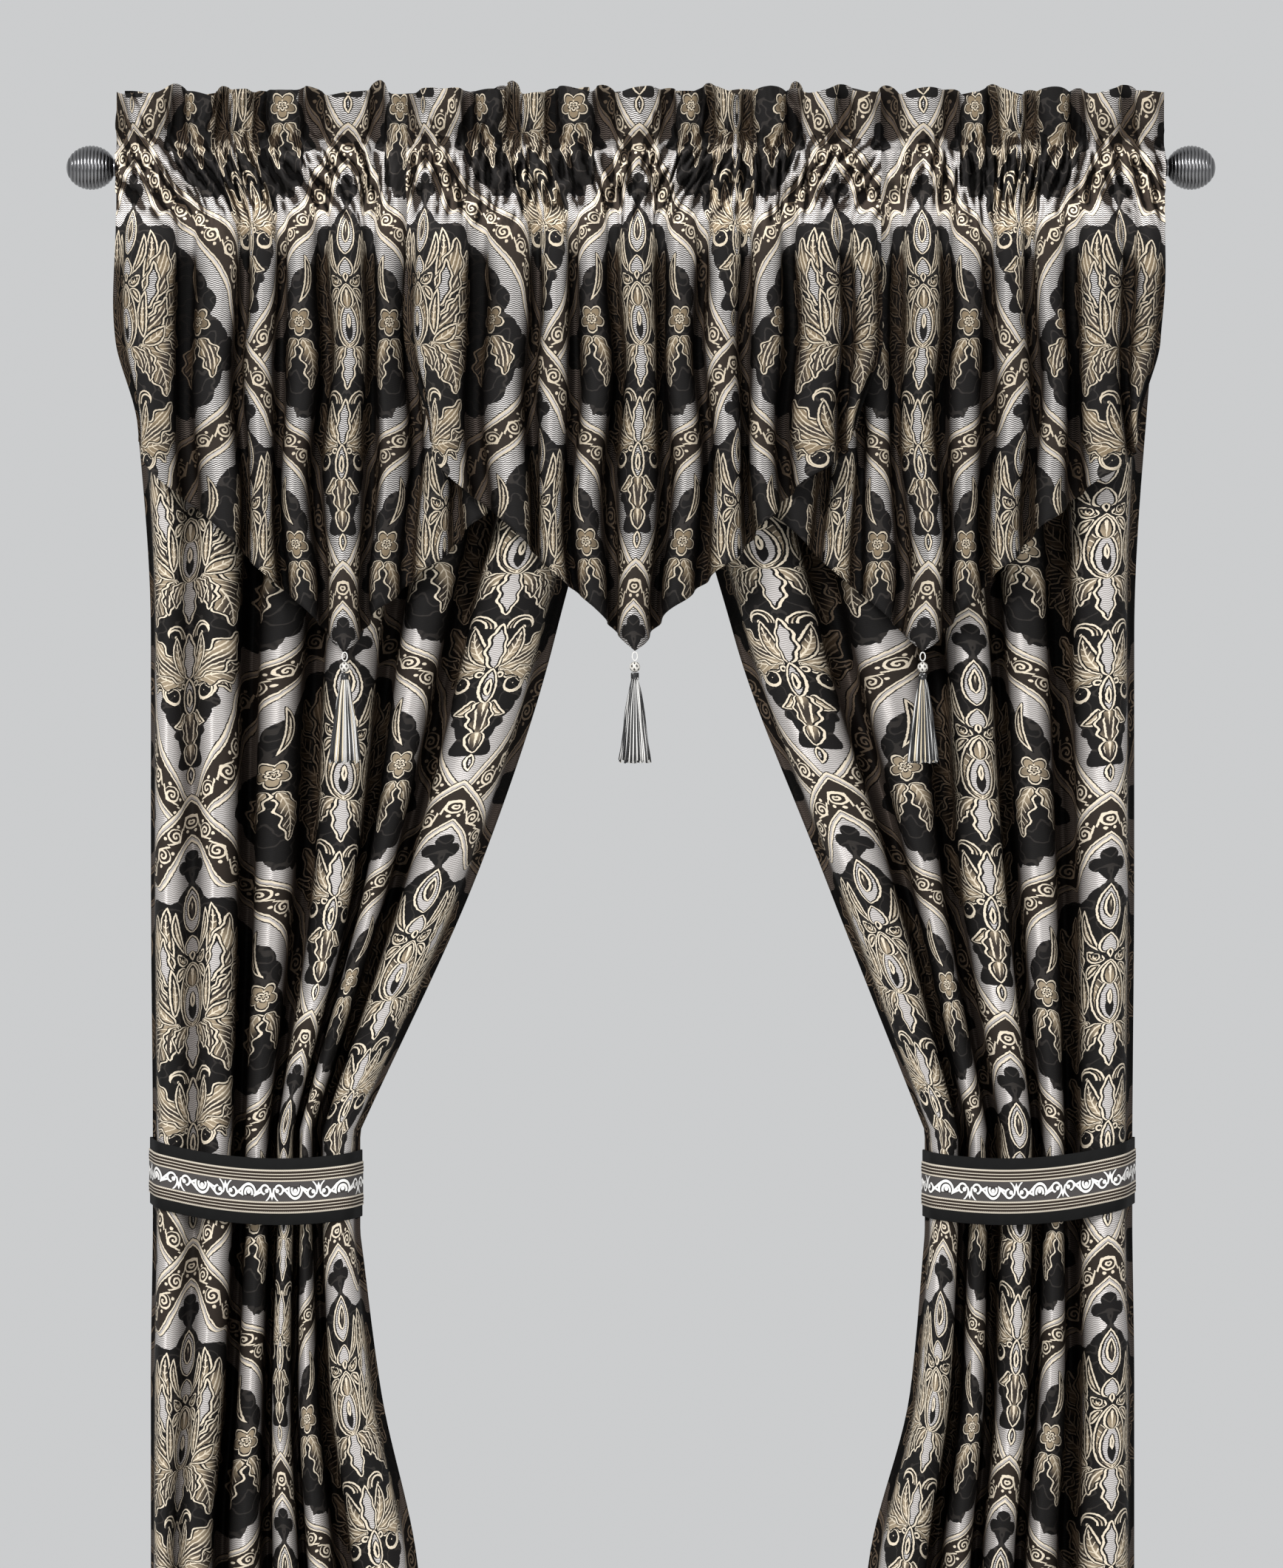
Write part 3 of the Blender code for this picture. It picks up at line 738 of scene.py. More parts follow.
    def gathers(self, down: Array) -> Array:
        """Small shirring of the pocket and soft creases elsewhere.

        Args:
            down: place of each point down the flat cloth, in millimetres.

        Returns:
            How far each point moves towards the front, in millimetres.
        """
        across, z, (upper, lower) = self.across, self.z, self.pocket
        middle = (upper + lower) / 2
        slant = 26 * np.sin(across * 0.021 + self.seed)
        shirring = Crumple(self.seed, ((31, 0.30), (22, 0.30), (16, 0.25), (11, 0.15)))
        bowed = across + 11 * np.sin(down * 0.062 + across * 0.019)
        pleats = Crumple(self.seed + 3, ((44, 0.5), (27, 0.5))).at(bowed, down * 0.30)
        ripple = Crumple(self.seed + 7, ((24, 0.5), (15, 0.5))).at(across, down * 0.12)
        soft = Crumple(self.seed + 13, ((88, 0.5), (54, 0.5))).at(across, down * 0.35)
        inside = np.exp(-(((z - middle + 0.004) / 0.034) ** 2))
        seams = np.exp(-(((z - upper) / 0.007) ** 2)) + 0.7 * np.exp(-(((z - lower) / 0.012) ** 2))
        shirred = 29.0 * (shirring.at(across + slant * down / 60, down * 0.75) - 0.22) * inside
        return (
            shirred + 9.0 * (ripple - 0.4) * seams - 4.0 * seams
            + 12.0 * (pleats - 0.4) * ramp(z, upper, upper + 0.020) + 3.0 * soft * ramp(-z, 0.03, 0.10)
        )

    def swing(self) -> Array:
        """How far the folds stray on their way down, and the side edges swing inwards near the corners.

        Returns:
            Metres to the right, by rows and columns.
        """
        column, down = np.arange(len(self.across)), -self.z
        left = 0.019 * ramp(down, 0.165, 0.265) * (1 - ramp(column, 0, 1.2 * self.steps))
        right = 0.026 * ramp(down, 0.165, 0.255) * (1 - ramp(column[::-1], 0, 2.2 * self.steps))
        slow = np.sin(self.z * 19.0 + self.across * 0.0130 + self.seed)
        quick = 0.6 * np.sin(self.z * 31.0 - self.across * 0.0210)
        return left - right + 0.0035 * ramp(down, 0.05, 0.20) * (slow + quick)

    def painted_shade_and_sheen(self, reach: Array, small: Array) -> Array:
        """Painted shade in the folds and creases, and a painted sheen on the pocket's ridges.

        Args:
            reach: its reach in the large folds.
            small: its shirring, in millimetres.

        Returns:
            1 for full painted shade in the depth, 0 on the crests, below 0 for painted sheen on the pocket's
            ridges.
        """
        gathered = ramp(self.z, -0.11, -0.04)
        pocketed = gathered * ramp(-self.z, self.pocket[1], -0.012)
        sunk = recess(small, (2.4, 3.6)) - 1.2 * ramp(self.z, self.pocket[0], 0.045)
        # painted shade in the creases of the shirring
        creases = ramp(sunk, 0.45, 1.5) * gathered
        edge = ramp(self.z, 0.055, 0.078)
        # painted shade deep in the large folds, less in the pocket and at the top edge
        folds = (1 - reach) * (1.12 - 0.35 * gathered - 0.62 * pocketed - 0.35 * edge)
        # painted sheen on the pocket's ridges, away from the creases
        painted_sheen_share = ramp(-sunk, -1.6, 1.2) * pocketed * (1 - creases)
        return folds * (1 - 0.6 * pocketed) + creases * (0.65 - 0.05 * pocketed) - 0.8 * painted_sheen_share

    def point(self) -> Vector:
        """The middle of the cloth at the valance's point."""
        x, y, z = min(self.points[-1], key=lambda place: place[2])
        return Vector((x, y + CLOTH_THICKNESS / 2, z))


# ---- tie bands
def taut_loop(points: Array, step: float) -> Array:
    """The path of a band drawn tight round plan points.

    Args:
        points: the points, one a row.
        step: about how far apart the places of the path are.

    Returns:
        The points' convex outline, anticlockwise, in even steps.
    """
    ordered = sorted({(round(float(x), 5), round(float(y), 5)) for x, y in points})
    outline: list[Pair] = []
    for run in (ordered, ordered[::-1]):
        half: list[Pair] = []
        for x, y in run:
            while len(half) > 1 and turn_of(half[-2], half[-1], (x, y)) <= 0:
                half.pop()
            half.append((x, y))
        outline += half[:-1]
    corners = np.array(outline + outline[:1])
    along = running(np.hypot(*np.diff(corners, axis=0).T))
    places = np.linspace(0, along[-1], round(along[-1] / step), endpoint=False)
    return np.column_stack([np.interp(places, along, corners[:, i]) for i in (0, 1)])


def turn_of(a: Sequence[float], b: Sequence[float], c: Sequence[float]) -> float:
    """Positive where the way from a through b to c turns left."""
    return (b[0] - a[0]) * (c[1] - a[1]) - (b[1] - a[1]) * (c[0] - a[0])


def ring_normals(outline: Array) -> Array:
    """Which way is out of an outline.

    Args:
        outline: plan points, anticlockwise, one a row.

    Returns:
        The unit normal at each point.
    """
    run = np.roll(outline, -1, axis=0) - np.roll(outline, 1, axis=0)
    normals = np.column_stack((run[:, 1], -run[:, 0]))
    return normals / np.hypot(*normals.T)[:, None]


def below(section: Sequence[Pair]) -> list[Pair]:
    """The points of a section mirrored below its middle line, in reverse order."""
    return [(out, -up) for out, up in reversed(section)]


@dataclass
class TieBand:
    """A flat black band round a panel's waist, with a woven braid sewn on its outside."""

    side: Side
    panel: Object
    height: float = 0.063
    thickness: float = 0.0018
    slack: float = 0.0013
    lowest: float = -0.968
    sag: float = 0.0180
    dip: float = 0.62  # where it dips lowest, as a share of the way in from its outer end
    step: float = 0.0022
    waist: Pair = (-1.010, -0.911)
    braid_height: float = 0.0415
    braid_thickness: float = 0.0009
    seam: float = 0.0002  # between the band and its braid

    def outline(self) -> Array:
        """The band's path round the panel's waist.

        Returns:
            Plan points of its inner face, anticlockwise, one a row.
        """
        solid = self.panel.evaluated_get(bpy.context.evaluated_depsgraph_get()).data
        count = len(solid.vertices)
        places = np.empty(count * 3, dtype=np.float32)
        solid.vertices.foreach_get("co", places)
        places = places.reshape(count, 3)
        inside = places[(places[:, 2] > self.waist[0]) & (places[:, 2] < self.waist[1])]
        path = taut_loop(inside[:, :2], self.step)
        normals = ring_normals(path)
        for _ in range(2):
            path = (np.roll(path, 1, axis=0) + 2 * path + np.roll(path, -1, axis=0)) / 4
        return path + normals * self.slack

    def ring(self, name: str, path: Array, section: Sequence[Pair], layer: str) -> Object:
        """A section swept round the path.

        Args:
            name: of the piece.
            path: plan points of the band's inner face.
            section: closed, as distance out from the path and height above the band's middle line, in metres,
                clockwise from the outer face's top.
            layer: name of the UV map, which runs along the band and up it.

        Returns:
            The new object.
        """
        normals = ring_normals(path)
        distances = np.abs(path[:, 0])
        share = (distances.max() - distances) / (distances.max() - distances.min())
        middle = self.lowest + self.sag * (share / self.dip - 1) ** 2
        loop = [*section, section[0]]
        points = np.stack([np.column_stack((path + normals * out, middle + up)) for out, up in loop], axis=1)
        along = running(np.hypot(*(np.roll(path, -1, axis=0) - path).T))[:-1]
        flat = np.stack([np.column_stack((np.full(len(path), up), along)) for _, up in loop], axis=1)
        piece = grid_object(name, points, flat, closed=True, layer=layer)
        bm = bmesh.new()
        bm.from_mesh(piece.data)
        bmesh.ops.remove_doubles(bm, verts=bm.verts, dist=0.00001)
        bmesh.ops.recalc_face_normals(bm, faces=bm.faces)
        bm.to_mesh(piece.data)
        bm.free()
        return piece

    def build(self, satin: Material, braid: Material) -> None:
        """Make the band and its braid.

        Args:
            satin: what the band is made of.
            braid: what the braid is made of.
        """
        path = self.outline()
        half, t = self.height / 2, self.thickness
        outside = [(t * 0.75, half), (t, half - 0.0005), (t, half * 0.66), (t, half * 0.33)]
        inside = [(0.0, half - 0.0006), (t * 0.2, half)]
        section = outside + below(outside) + below(inside) + inside
        node = self.side.node("tie_band")
        dress(self.ring(node + "_satin", path, section, "band"), "band_satin", node, satin)
        rise, edge = self.braid_thickness, self.braid_height / 2
        profile = [
            (0.0, edge), (rise * 0.8, edge - 0.0003), (rise * 0.9, edge - 0.0022),
            (rise * 0.45, edge - 0.0030), (rise * 0.85, edge - 0.0038), (rise, edge - 0.0065),
            (rise * 0.8, edge - 0.0100), (rise * 0.55, edge - 0.0112), (rise * 0.60, 0.0),
        ]
        section = [(t + self.seam + out, up) for out, up in profile + below(profile[:-1])]
        node = self.side.node("tie_braid")
        dress(self.ring(node + "_woven", path, section, "braid"), "woven_braid", node, braid)


# ---- tassels
def tube(
    bm: BMesh, path: Sequence[Vector], radii: Sequence[float], sides: int, closed: bool = False,
    tone: float = 0.0,
) -> None:
    """Add a round tube along a path to a mesh.

    Args:
        bm: the mesh; its float attribute "tone" gets the tone.
        path: middle line.
        radii: radius at each point of the path.
        sides: faces round the tube.
        closed: whether the last point joins the first one.
        tone: one number for the whole tube.
    """
    layer = bm.verts.layers.float.get("tone") or bm.verts.layers.float.new("tone")
    rings = []
    count = len(path)
    for i, (point, radius) in enumerate(zip(path, radii)):
        before = path[i - 1] if closed or i else path[0]
        after = path[(i + 1) % count] if closed or i + 1 < count else path[-1]
        along = (after - before).normalized()
        first = first - along * first.dot(along) if rings else along.orthogonal()
        first.normalize()
        second = along.cross(first)
        ring = []
        for k in range(sides):
            angle = 2 * pi * k / sides
            corner = bm.verts.new(point + (first * cos(angle) + second * sin(angle)) * radius)
            corner[layer] = tone
            ring.append(corner)
        rings.append(ring)
    pairs = list(zip(rings, rings[1:]))
    if closed:
        pairs.append((rings[-1], rings[0]))
    for low, high in pairs:
        for k in range(sides):
            bm.faces.new((low[k], low[(k + 1) % sides], high[(k + 1) % sides], high[k]))
    if not closed:
        bm.faces.new(rings[0][::-1])
        bm.faces.new(rings[-1])


def finish_mesh(name: str, bm: BMesh) -> Object:
    """Turn a bmesh into a smooth object.

    Args:
        name: name of the piece.
        bm: the bmesh, which is used up.

    Returns:
        The new object.
    """
    mesh = bpy.data.meshes.new(name)
    bm.to_mesh(mesh)
    bm.free()
    return mesh_object(name, mesh)


@dataclass
class Tassel:
    """A thread loop, a covered bead, a wrapped neck and a skirt of loose strands."""

    side: Side
    tip: Vector  # the point of the valance
    gap: float = 0.0004
    wire: float = 0.0006
    half_height: float = 0.0040
    half_width: float = 0.0024
    loop_steps: int = 96
    loop_twists: int = 12
    bead: float = 0.0050
    neck: float = 0.0038
    neck_height: float = 0.0065
    neck_turns: int = 7
    turn_steps: int = 24
    length: float = 0.0790
    foot: float = 0.0144  # radius of the skirt at its end
    strands: int = 132
    rows: int = 44  # strands side by side round the skirt
    strand_steps: int = 10
    strand_radii: Pair = (0.00036, 0.00100)  # at the top and at the foot
    neck_tone: float = 2.0

    def build(self, thread: Material, covered: Material, strand: Material) -> None:
        """Make the three pieces.

        Args:
            thread: for the loop.
            covered: for the bead.
            strand: for the neck and the skirt.
        """
        loop_z = self.tip.z - self.gap - self.wire - self.half_height
        bead_z = loop_z - self.half_height - self.wire - self.gap - self.bead
        neck_z = bead_z - self.bead - self.gap
        x, y, _ = self.tip
        self.build_loop(Vector((x, y, loop_z)), thread)
        self.build_bead(Vector((x, y, bead_z)), covered)
        self.build_skirt(Vector((x, y, neck_z)), strand)

    def build_loop(self, middle: Vector, thread: Material) -> None:
        """Two twisted strands in an upright loop.

        Args:
            middle: the loop's middle.
            thread: its material.
        """
        bm = bmesh.new()
        ply = self.wire * 0.52
        for strand in (0, 1):
            path = []
            for i in range(self.loop_steps):
                angle = 2 * pi * i / self.loop_steps
                twist = self.loop_twists * angle + pi * strand
                out = Vector((sin(angle), 0, cos(angle)))
                centre = Vector((self.half_width * out.x, 0, self.half_height * out.z))
                round_it = out * cos(twist) + Vector((0, 1, 0)) * sin(twist)
                path.append(middle + centre + round_it * ply)
            tube(bm, path, [self.wire * 0.56] * len(path), 6, closed=True, tone=float(strand))
        node = self.side.node("tassel_loop")
        dress(finish_mesh(node + "_cord", bm), "tassel_thread", node, thread)

    def build_bead(self, middle: Vector, covered: Material) -> None:
        """A ball with threads wound over it from pole to pole.

        Args:
            middle: the ball's middle.
            covered: its material, which reads the threads' height from the attribute "rib".
        """
        bm = bmesh.new()
        layer = bm.verts.layers.float.new("rib")
        bmesh.ops.create_uvsphere(bm, u_segments=96, v_segments=36, radius=self.bead)
        for corner in bm.verts:
            turn = math.atan2(corner.co.y, corner.co.x)
            rise = math.asin(max(-1.0, min(1.0, corner.co.z / self.bead)))
            one_way = abs(sin(3 * turn + 2.2 * rise))
            other_way = abs(sin(3 * turn - 2.2 * rise + 0.7)) * 0.9
            corner[layer] = max(one_way, other_way) ** 2
            corner.co *= 1 - 0.05 * (1 - corner[layer]) * cos(rise)
            corner.co += middle
        node = self.side.node("tassel_bead")
        dress(finish_mesh(node + "_ball", bm), "tassel_bead", node, covered)

    def wind_neck(self, bm: BMesh, top: Vector) -> None:
        """Add the neck with the thread wound round it.

        Args:
            bm: the skirt's mesh.
            top: the neck's upper end.
        """
        steps = self.neck_turns * self.turn_steps
        wound = []
        for i in range(steps + 1):
            angle = 2 * pi * i / self.turn_steps
            drop = self.neck_height * (0.06 + 0.88 * i / steps)
            out = self.neck * 0.90
            wound.append(top + Vector((out * cos(angle), out * sin(angle), -drop)))
        thread = self.neck_height / self.neck_turns * 0.52
        tube(bm, wound, [thread] * len(wound), 6, tone=self.neck_tone)
        core = [top, top - Vector((0, 0, self.neck_height))]
        tube(bm, core, [self.neck * 0.88] * 2, 20, tone=self.neck_tone)

    def build_skirt(self, top: Vector, strand: Material) -> None:
        """The neck's wound thread, and strands that spread as they fall.

        Args:
            top: the neck's upper end.
            strand: the material, which picks its threads by the attribute "tone".
        """
        bm = bmesh.new()
        self.wind_neck(bm, top)
        chance = random.Random(40 + list(Side).index(self.side))
        start = 0.85 * self.neck
        thin, thick = self.strand_radii
        for k in range(self.strands):
            row, layer = k % self.rows, k // self.rows
            turn = 2 * pi * (row + chance.uniform(-0.15, 0.15)) / self.rows
            dark = (row % 2 == 1) != (chance.random() < 0.10)
            share = (1.0 if dark else 0.96) - 0.28 * layer
            bend = chance.uniform(-0.07, 0.07)
            end = self.length * chance.uniform(0.955, 1.0)
            wave = chance.uniform(0.0, 0.0007)
            phase = chance.uniform(*PHASES)
            tone = chance.uniform(0.0, 0.5) if dark else chance.uniform(0.44, 1.0)
            stout = 1.15 if dark else 0.90
            path, radii = [], []
            for i in range(self.strand_steps + 1):
                t = i / self.strand_steps
                spread = start + (self.foot - start) * (0.30 * t + 0.70 * t**0.75)
                out = spread * share + wave * sin(phase + 9 * t)
                angle = turn + bend * t * 0.5
                drop = self.neck_height * 0.9 + end * t
                path.append(top + Vector((out * cos(angle), out * sin(angle), -drop)))
                radii.append((thin + (thick - thin) * t) * stout)
            tube(bm, path, radii, 4, tone=tone)
        node = self.side.node("tassel_skirt")
        dress(finish_mesh(node + "_strands", bm), "tassel_strand", node, strand)


# ---- rod and finials
def turned(name: str, profile: Sequence[tuple[float, float, float]], segments: int) -> Object:
    """A closed form turned round the X axis.

    Args:
        name: name of the piece.
        profile: distance along the axis, radius and groove depth at each corner.
        segments: faces round it.

    Returns:
        The new object; its attribute "groove" holds the groove depths.
    """
    bm = bmesh.new()
    layer = bm.verts.layers.float.new("groove")
    rings = []
    for distance, radius, groove in profile:
        angles = [2 * pi * k / segments for k in range(segments)] if radius > 0 else [0.0]
        ring = [bm.verts.new((distance, radius * cos(a), radius * sin(a))) for a in angles]
        for corner in ring:
            corner[layer] = groove
        rings.append(ring)
    for low, high in zip(rings, rings[1:]):
        for k in range(segments):
            here, there = (k % len(low), k % len(high)), ((k + 1) % len(low), (k + 1) % len(high))
            corners = [low[here[0]], high[here[1]], high[there[1]], low[there[0]]]
            bm.faces.new(list(dict.fromkeys(corners)))  # a ring of one corner makes triangles
    bmesh.ops.recalc_face_normals(bm, faces=bm.faces)
    return finish_mesh(name, bm)


@dataclass
class CurtainRod:
    """The rod and its two turned ball finials."""

    radius: float = 0.012
    half_length: float = 0.4968
    lip: float = 0.0006
    segments: int = 48
    gap: float = 0.0004
    finial_length: float = 0.047
    finial_radius: float = 0.021
    finial_segments: int = 72
    collar: float = 0.0082
    collar_length: float = 0.0016
    ball_start: float = 0.0022
    rings: int = 13
    ring_steps: int = 8
    groove: float = 0.0011

    def build(self, steel: Material, pewter: Material) -> None:
        """Make the three pieces.

        Args:
            steel: what the rod is made of.
            pewter: what the finials are made of.
        """
        end = self.half_length
        half = [(end - self.lip, self.radius, 0.0), (end, self.radius - self.lip, 0.0), (end, 0.0, 0.0)]
        mirrored = [(-distance, radius, groove) for distance, radius, groove in reversed(half)]
        rod = turned("rod_tube", mirrored + half, self.segments)
        rod.data.set_sharp_from_angle(angle=pi / 5)
        dress(rod, "rod_metal", "rod", steel)
        for side, sign in ((Side.LEFT, -1), (Side.RIGHT, 1)):
            start = end + self.gap
            profile = [(sign * (start + out), radius, groove) for out, radius, groove in self.ball_profile()]
            node = side.node("finial")
            ball = turned(node + "_ball", profile, self.finial_segments)
            dress(ball, "finial_metal", node, pewter)

    def ball_profile(self) -> list[tuple[float, float, float]]:
        """The finial's outline, from its collar to its outer end.

        Returns:
            Distance from its foot, radius and groove depth at each corner.
        """
        half = self.finial_length / 2
        profile = [(0.0, 0.0, 0.0), (0.0, self.collar, 0.0), (self.collar_length, self.collar, 0.0)]
        steps = self.rings * self.ring_steps
        for k in range(steps + 1):
            distance = self.ball_start + (self.finial_length - self.ball_start) * k / steps
            wave = abs(sin(pi * self.rings * k / steps)) ** 0.6
            round_part = math.sqrt(max(0.0, 1 - ((distance - half) / half) ** 2))
            radius = max(self.collar if distance < half else 0.0, self.finial_radius * round_part)
            cut = self.groove * (1 - wave) * min(1.0, radius / 0.006)  # shallower near the end
            profile.append((distance, max(0.0, radius - cut), 1 - wave))
        if profile[-1][1] > 0:
            profile.append((self.finial_length, 0.0, 0.0))
        return profile


# ---- formulas in node groups
Colour = tuple[float, float, float, float]
Value = Union["Term", float, tuple[float, ...], None]  # None leaves an input as it is


def operator(operation: str, swapped: bool = False) -> Callable[["Term", Value], "Term"]:
    """A method for an operator of two values.

    Args:
        operation: the math node's operation.
        swapped: whether the term is the second of the two.

    Returns:
        The method.
    """
    def method(term: "Term", other: Value = None) -> "Term":
        """The node's output."""
        values = (other, term) if swapped else (term, other)
        return term.graph.math(operation, *values)
    return method


class Term:
    """The value of a socket, for use in formulas that make math nodes."""

    def __init__(self, graph: "Graph", socket: bpy.types.NodeSocket) -> None:
        """Remember the graph and the socket."""
        self.graph = graph
        self.socket = socket

    __add__, __radd__ = operator("ADD"), operator("ADD", True)
    __sub__, __rsub__ = operator("SUBTRACT"), operator("SUBTRACT", True)
    __mul__, __rmul__ = operator("MULTIPLY"), operator("MULTIPLY", True)
    __truediv__ = operator("DIVIDE")
    __gt__, __lt__ = operator("GREATER_THAN"), operator("LESS_THAN")
    __abs__ = operator("ABSOLUTE")


class Graph:
    """A node tree that formulas are written into."""

    def __init__(self, tree: NodeTree) -> None:
        """Start on a tree."""
        self.tree = tree

    def feed(self, socket: bpy.types.NodeSocket, value: Value) -> None:
        """Link a term to a socket, or set the socket's own value.

        Args:
            socket: where the value goes.
            value: a term, or a number or colour.
        """
        if isinstance(value, Term):
            self.tree.links.new(value.socket, socket)
        else:
            socket.default_value = value

    def fill(self, node: bpy.types.Node, values: dict[str, Value]) -> None:
        """Feed a node's inputs by name, with _ for a space."""
        for name, value in values.items():
            self.feed(node.inputs[name.replace("_", " ")], value)

    def node(self, kind: str, values: Sequence[Value] = (), out: int = 0, **settings: object) -> Term:
        """Make a node.

        Args:
            kind: the node's type name without "ShaderNode".
            values: what goes into its inputs, in order.
            out: which output to return.
            settings: its properties.

        Returns:
            The output.
        """
        made = self.tree.nodes.new("ShaderNode" + kind)
        for name, setting in settings.items():
            setattr(made, name, setting)
        for socket, value in zip(made.inputs, values):
            if value is not None:
                self.feed(socket, value)
        return Term(self, made.outputs[out])

    def math(self, operation: str, *values: Value) -> Term:
        """A math node."""
        return self.node("Math", values, operation=operation)

    def most(self, first: Value, *others: Value) -> Term:
        """The greatest of some values."""
        return functools.reduce(lambda most, other: self.math("MAXIMUM", most, other), others, first)

    def least(self, first: Value, *others: Value) -> Term:
        """The least of some values."""
        return functools.reduce(lambda least, other: self.math("MINIMUM", least, other), others, first)

    def sine(self, value: Value) -> Term:
        """The sine of an angle in radians."""
        return self.math("SINE", value)

    def wrap(self, value: Value, start: float, end: float) -> Term:
        """A value taken back into the range from start to end."""
        return self.math("WRAP", value, end, start)

    def vector(self, operation: str, *values: Value) -> Term:
        """A vector math node; products and lengths come from its second output."""
        out = 1 if operation in ("DOT_PRODUCT", "LENGTH") else 0
        return self.node("VectorMath", values, out, operation=operation)

    def in_mm(self, place: Term) -> Term:
        """A place in metres, in millimetres."""
        return self.vector("SCALE", place, None, None, 1 / MM)

    def join(self, x: Value, y: Value, z: Value = 0.0) -> Term:
        """A vector of three values."""
        return self.node("CombineXYZ", (x, y, z))

    def split(self, vector: Term) -> list[Term]:
        """The three values of a vector."""
        made = self.node("SeparateXYZ", (vector,)).socket.node
        return [Term(self, output) for output in made.outputs]

    def length(self, x: Value, y: Value) -> Term:
        """Distance from the place x, y to the middle."""
        return self.vector("LENGTH", self.join(x, y))

    def mix(self, share: Value, first: Value, second: Value) -> Term:
        """Between two numbers."""
        return self.node("Mix", (share, None, first, second), data_type="FLOAT")

    def blend(self, share: Value, first: Value, second: Value, way: str = "MIX") -> Term:
        """Between two colours."""
        values = (share, *[None] * 5, first, second)
        return self.node("Mix", values, 2, data_type="RGBA", blend_type=way)

    def tinted(self, colour: Term, tint: Colour) -> Term:
        """A colour multiplied by another."""
        return self.blend(1.0, colour, tint, "MULTIPLY")

    def step(self, value: Value, start: float, end: float) -> Term:
        """0 at start and 1 at end, smooth between."""
        values = (value, start, end, 0.0, 1.0)
        return self.node("MapRange", values, interpolation_type="SMOOTHSTEP")

    def curve(self, value: Value, points: Sequence[Pair], span: Pair = (-60, 60)) -> Term:
        """A smooth curve through points.

        Args:
            value: where to read it.
            points: place and height of each point.
            span: the lowest and highest height that it can have.

        Returns:
            The height there.
        """
        start, end = points[0][0], points[-1][0]
        low, high = span
        made = self.tree.nodes.new("ShaderNodeFloatCurve")
        self.feed(made.inputs["Value"], (value - start) / (end - start))
        line = made.mapping.curves[0]
        scaled = [((run - start) / (end - start), (height - low) / (high - low)) for run, height in points]
        line.points[0].location, line.points[1].location = scaled[0], scaled[-1]
        for place in scaled[1:-1]:
            line.points.new(*place)
        made.mapping.update()
        return Term(self, made.outputs[0]) * (high - low) + low

    def attribute(self, name: str) -> Term:
        """A number that the mesh holds at each corner."""
        return self.node("Attribute", (), 2, attribute_name=name)

    def own_place(self) -> Term:
        """The place in the object's own space."""
        return self.node("TexCoord", (), 3)

    def flat_place(self, layer: str) -> Term:
        """The place on the flat cloth, in metres, from a UV map."""
        return self.node("UVMap", uv_map=layer)

    def noise(self, place: Term, scale: float, detail: float = 1.0) -> Term:
        """Soft noise around 0.5."""
        return self.node("TexNoise", (place, None, scale, detail))

    def use(self, group: NodeTree, **values: Value) -> dict[str, Term]:
        """Put in a node group.

        Args:
            group: the group.
            values: its inputs by name, with _ for a space.

        Returns:
            Its outputs by name.
        """
        made = self.tree.nodes.new("ShaderNodeGroup")
        made.node_tree = group
        self.fill(made, values)
        return {socket.name: Term(self, socket) for socket in made.outputs}


class Kind(Enum):
    """What a group's output carries."""

    NUMBER = "NodeSocketFloat"
    VECTOR = "NodeSocketVector"
    COLOUR = "NodeSocketColor"


class Group(Graph):
    """A new node group, written between its inputs and its outputs."""

    def __init__(
        self, name: str, vectors: Sequence[str], numbers: Sequence[str], outputs: dict[str, Kind]
    ) -> None:
        """Make its tree and its sockets.

        Args:
            name: its name.
            vectors: names of the inputs that take a vector.
            numbers: names of the inputs that take a number.
            outputs: kind of each output, by name.
        """
        super().__init__(bpy.data.node_groups.new(name, "ShaderNodeTree"))
        inputs = dict.fromkeys(vectors, Kind.VECTOR) | dict.fromkeys(numbers, Kind.NUMBER)
        for side, sockets in (("INPUT", inputs), ("OUTPUT", outputs)):
            for socket, kind in sockets.items():
                self.tree.interface.new_socket(socket, in_out=side, socket_type=kind.value)
        self.entry = self.tree.nodes.new("NodeGroupInput")
        self.exit = self.tree.nodes.new("NodeGroupOutput")

    def __getitem__(self, name: str) -> Term:
        """An input of the group, by name."""
        return Term(self, self.entry.outputs[name])

    def give(self, **values: Value) -> NodeTree:
        """Set the group's outputs by name and return its tree."""
        self.fill(self.exit, values)
        return self.tree


class Surface(Graph):
    """A new material, written up to its shader."""

    def __init__(self, name: str, **plain: Value) -> None:
        """Make it.

        Args:
            name: name of the material.
            plain: what is the same all over, by the shader's sockets, with _ for a space.
        """
        self.material = bpy.data.materials.new(name)
        self.material.use_nodes = True
        super().__init__(self.material.node_tree)
        self.shader = self.tree.nodes["Principled BSDF"]
        self.fill(self.shader, plain)

    def bump(self, height: Term, strength: float, distance: float) -> None:
        """Feed a height into the shader's normal.

        Args:
            height: the height.
            strength: how strongly it shows, from 0 to 1.
            distance: what a height of 1 stands for, in metres.
        """
        made = self.tree.nodes.new("ShaderNodeBump")
        self.fill(made, {"Strength": strength, "Distance": distance, "Height": height})
        self.tree.links.new(made.outputs["Normal"], self.shader.inputs["Normal"])

    def finish(self, **values: Value) -> Material:
        """Feed the shader's sockets by name, with _ for a space, and return the material."""
        self.fill(self.shader, values)
        return self.material


# ---- the damask
class Fill(Enum):
    """How the inside of a motif is woven."""

    GOLD = 0
    SILVER = 1
    STRIPED = 2
    BLACK = 3


GOLD, SILVER, STRIPED, BLACK = Fill
LEAF_TIP = 0.66  # how pointed a leaf's tip is: 0.5 round, 1 pointed
FILL_STEP = 200.0  # added to a place along a motif for each fill
HALF_WIDTH, HALF_HEIGHT = 180.0, 210.0  # of the pattern's repeat, in millimetres
DIAGONAL = 0.7071


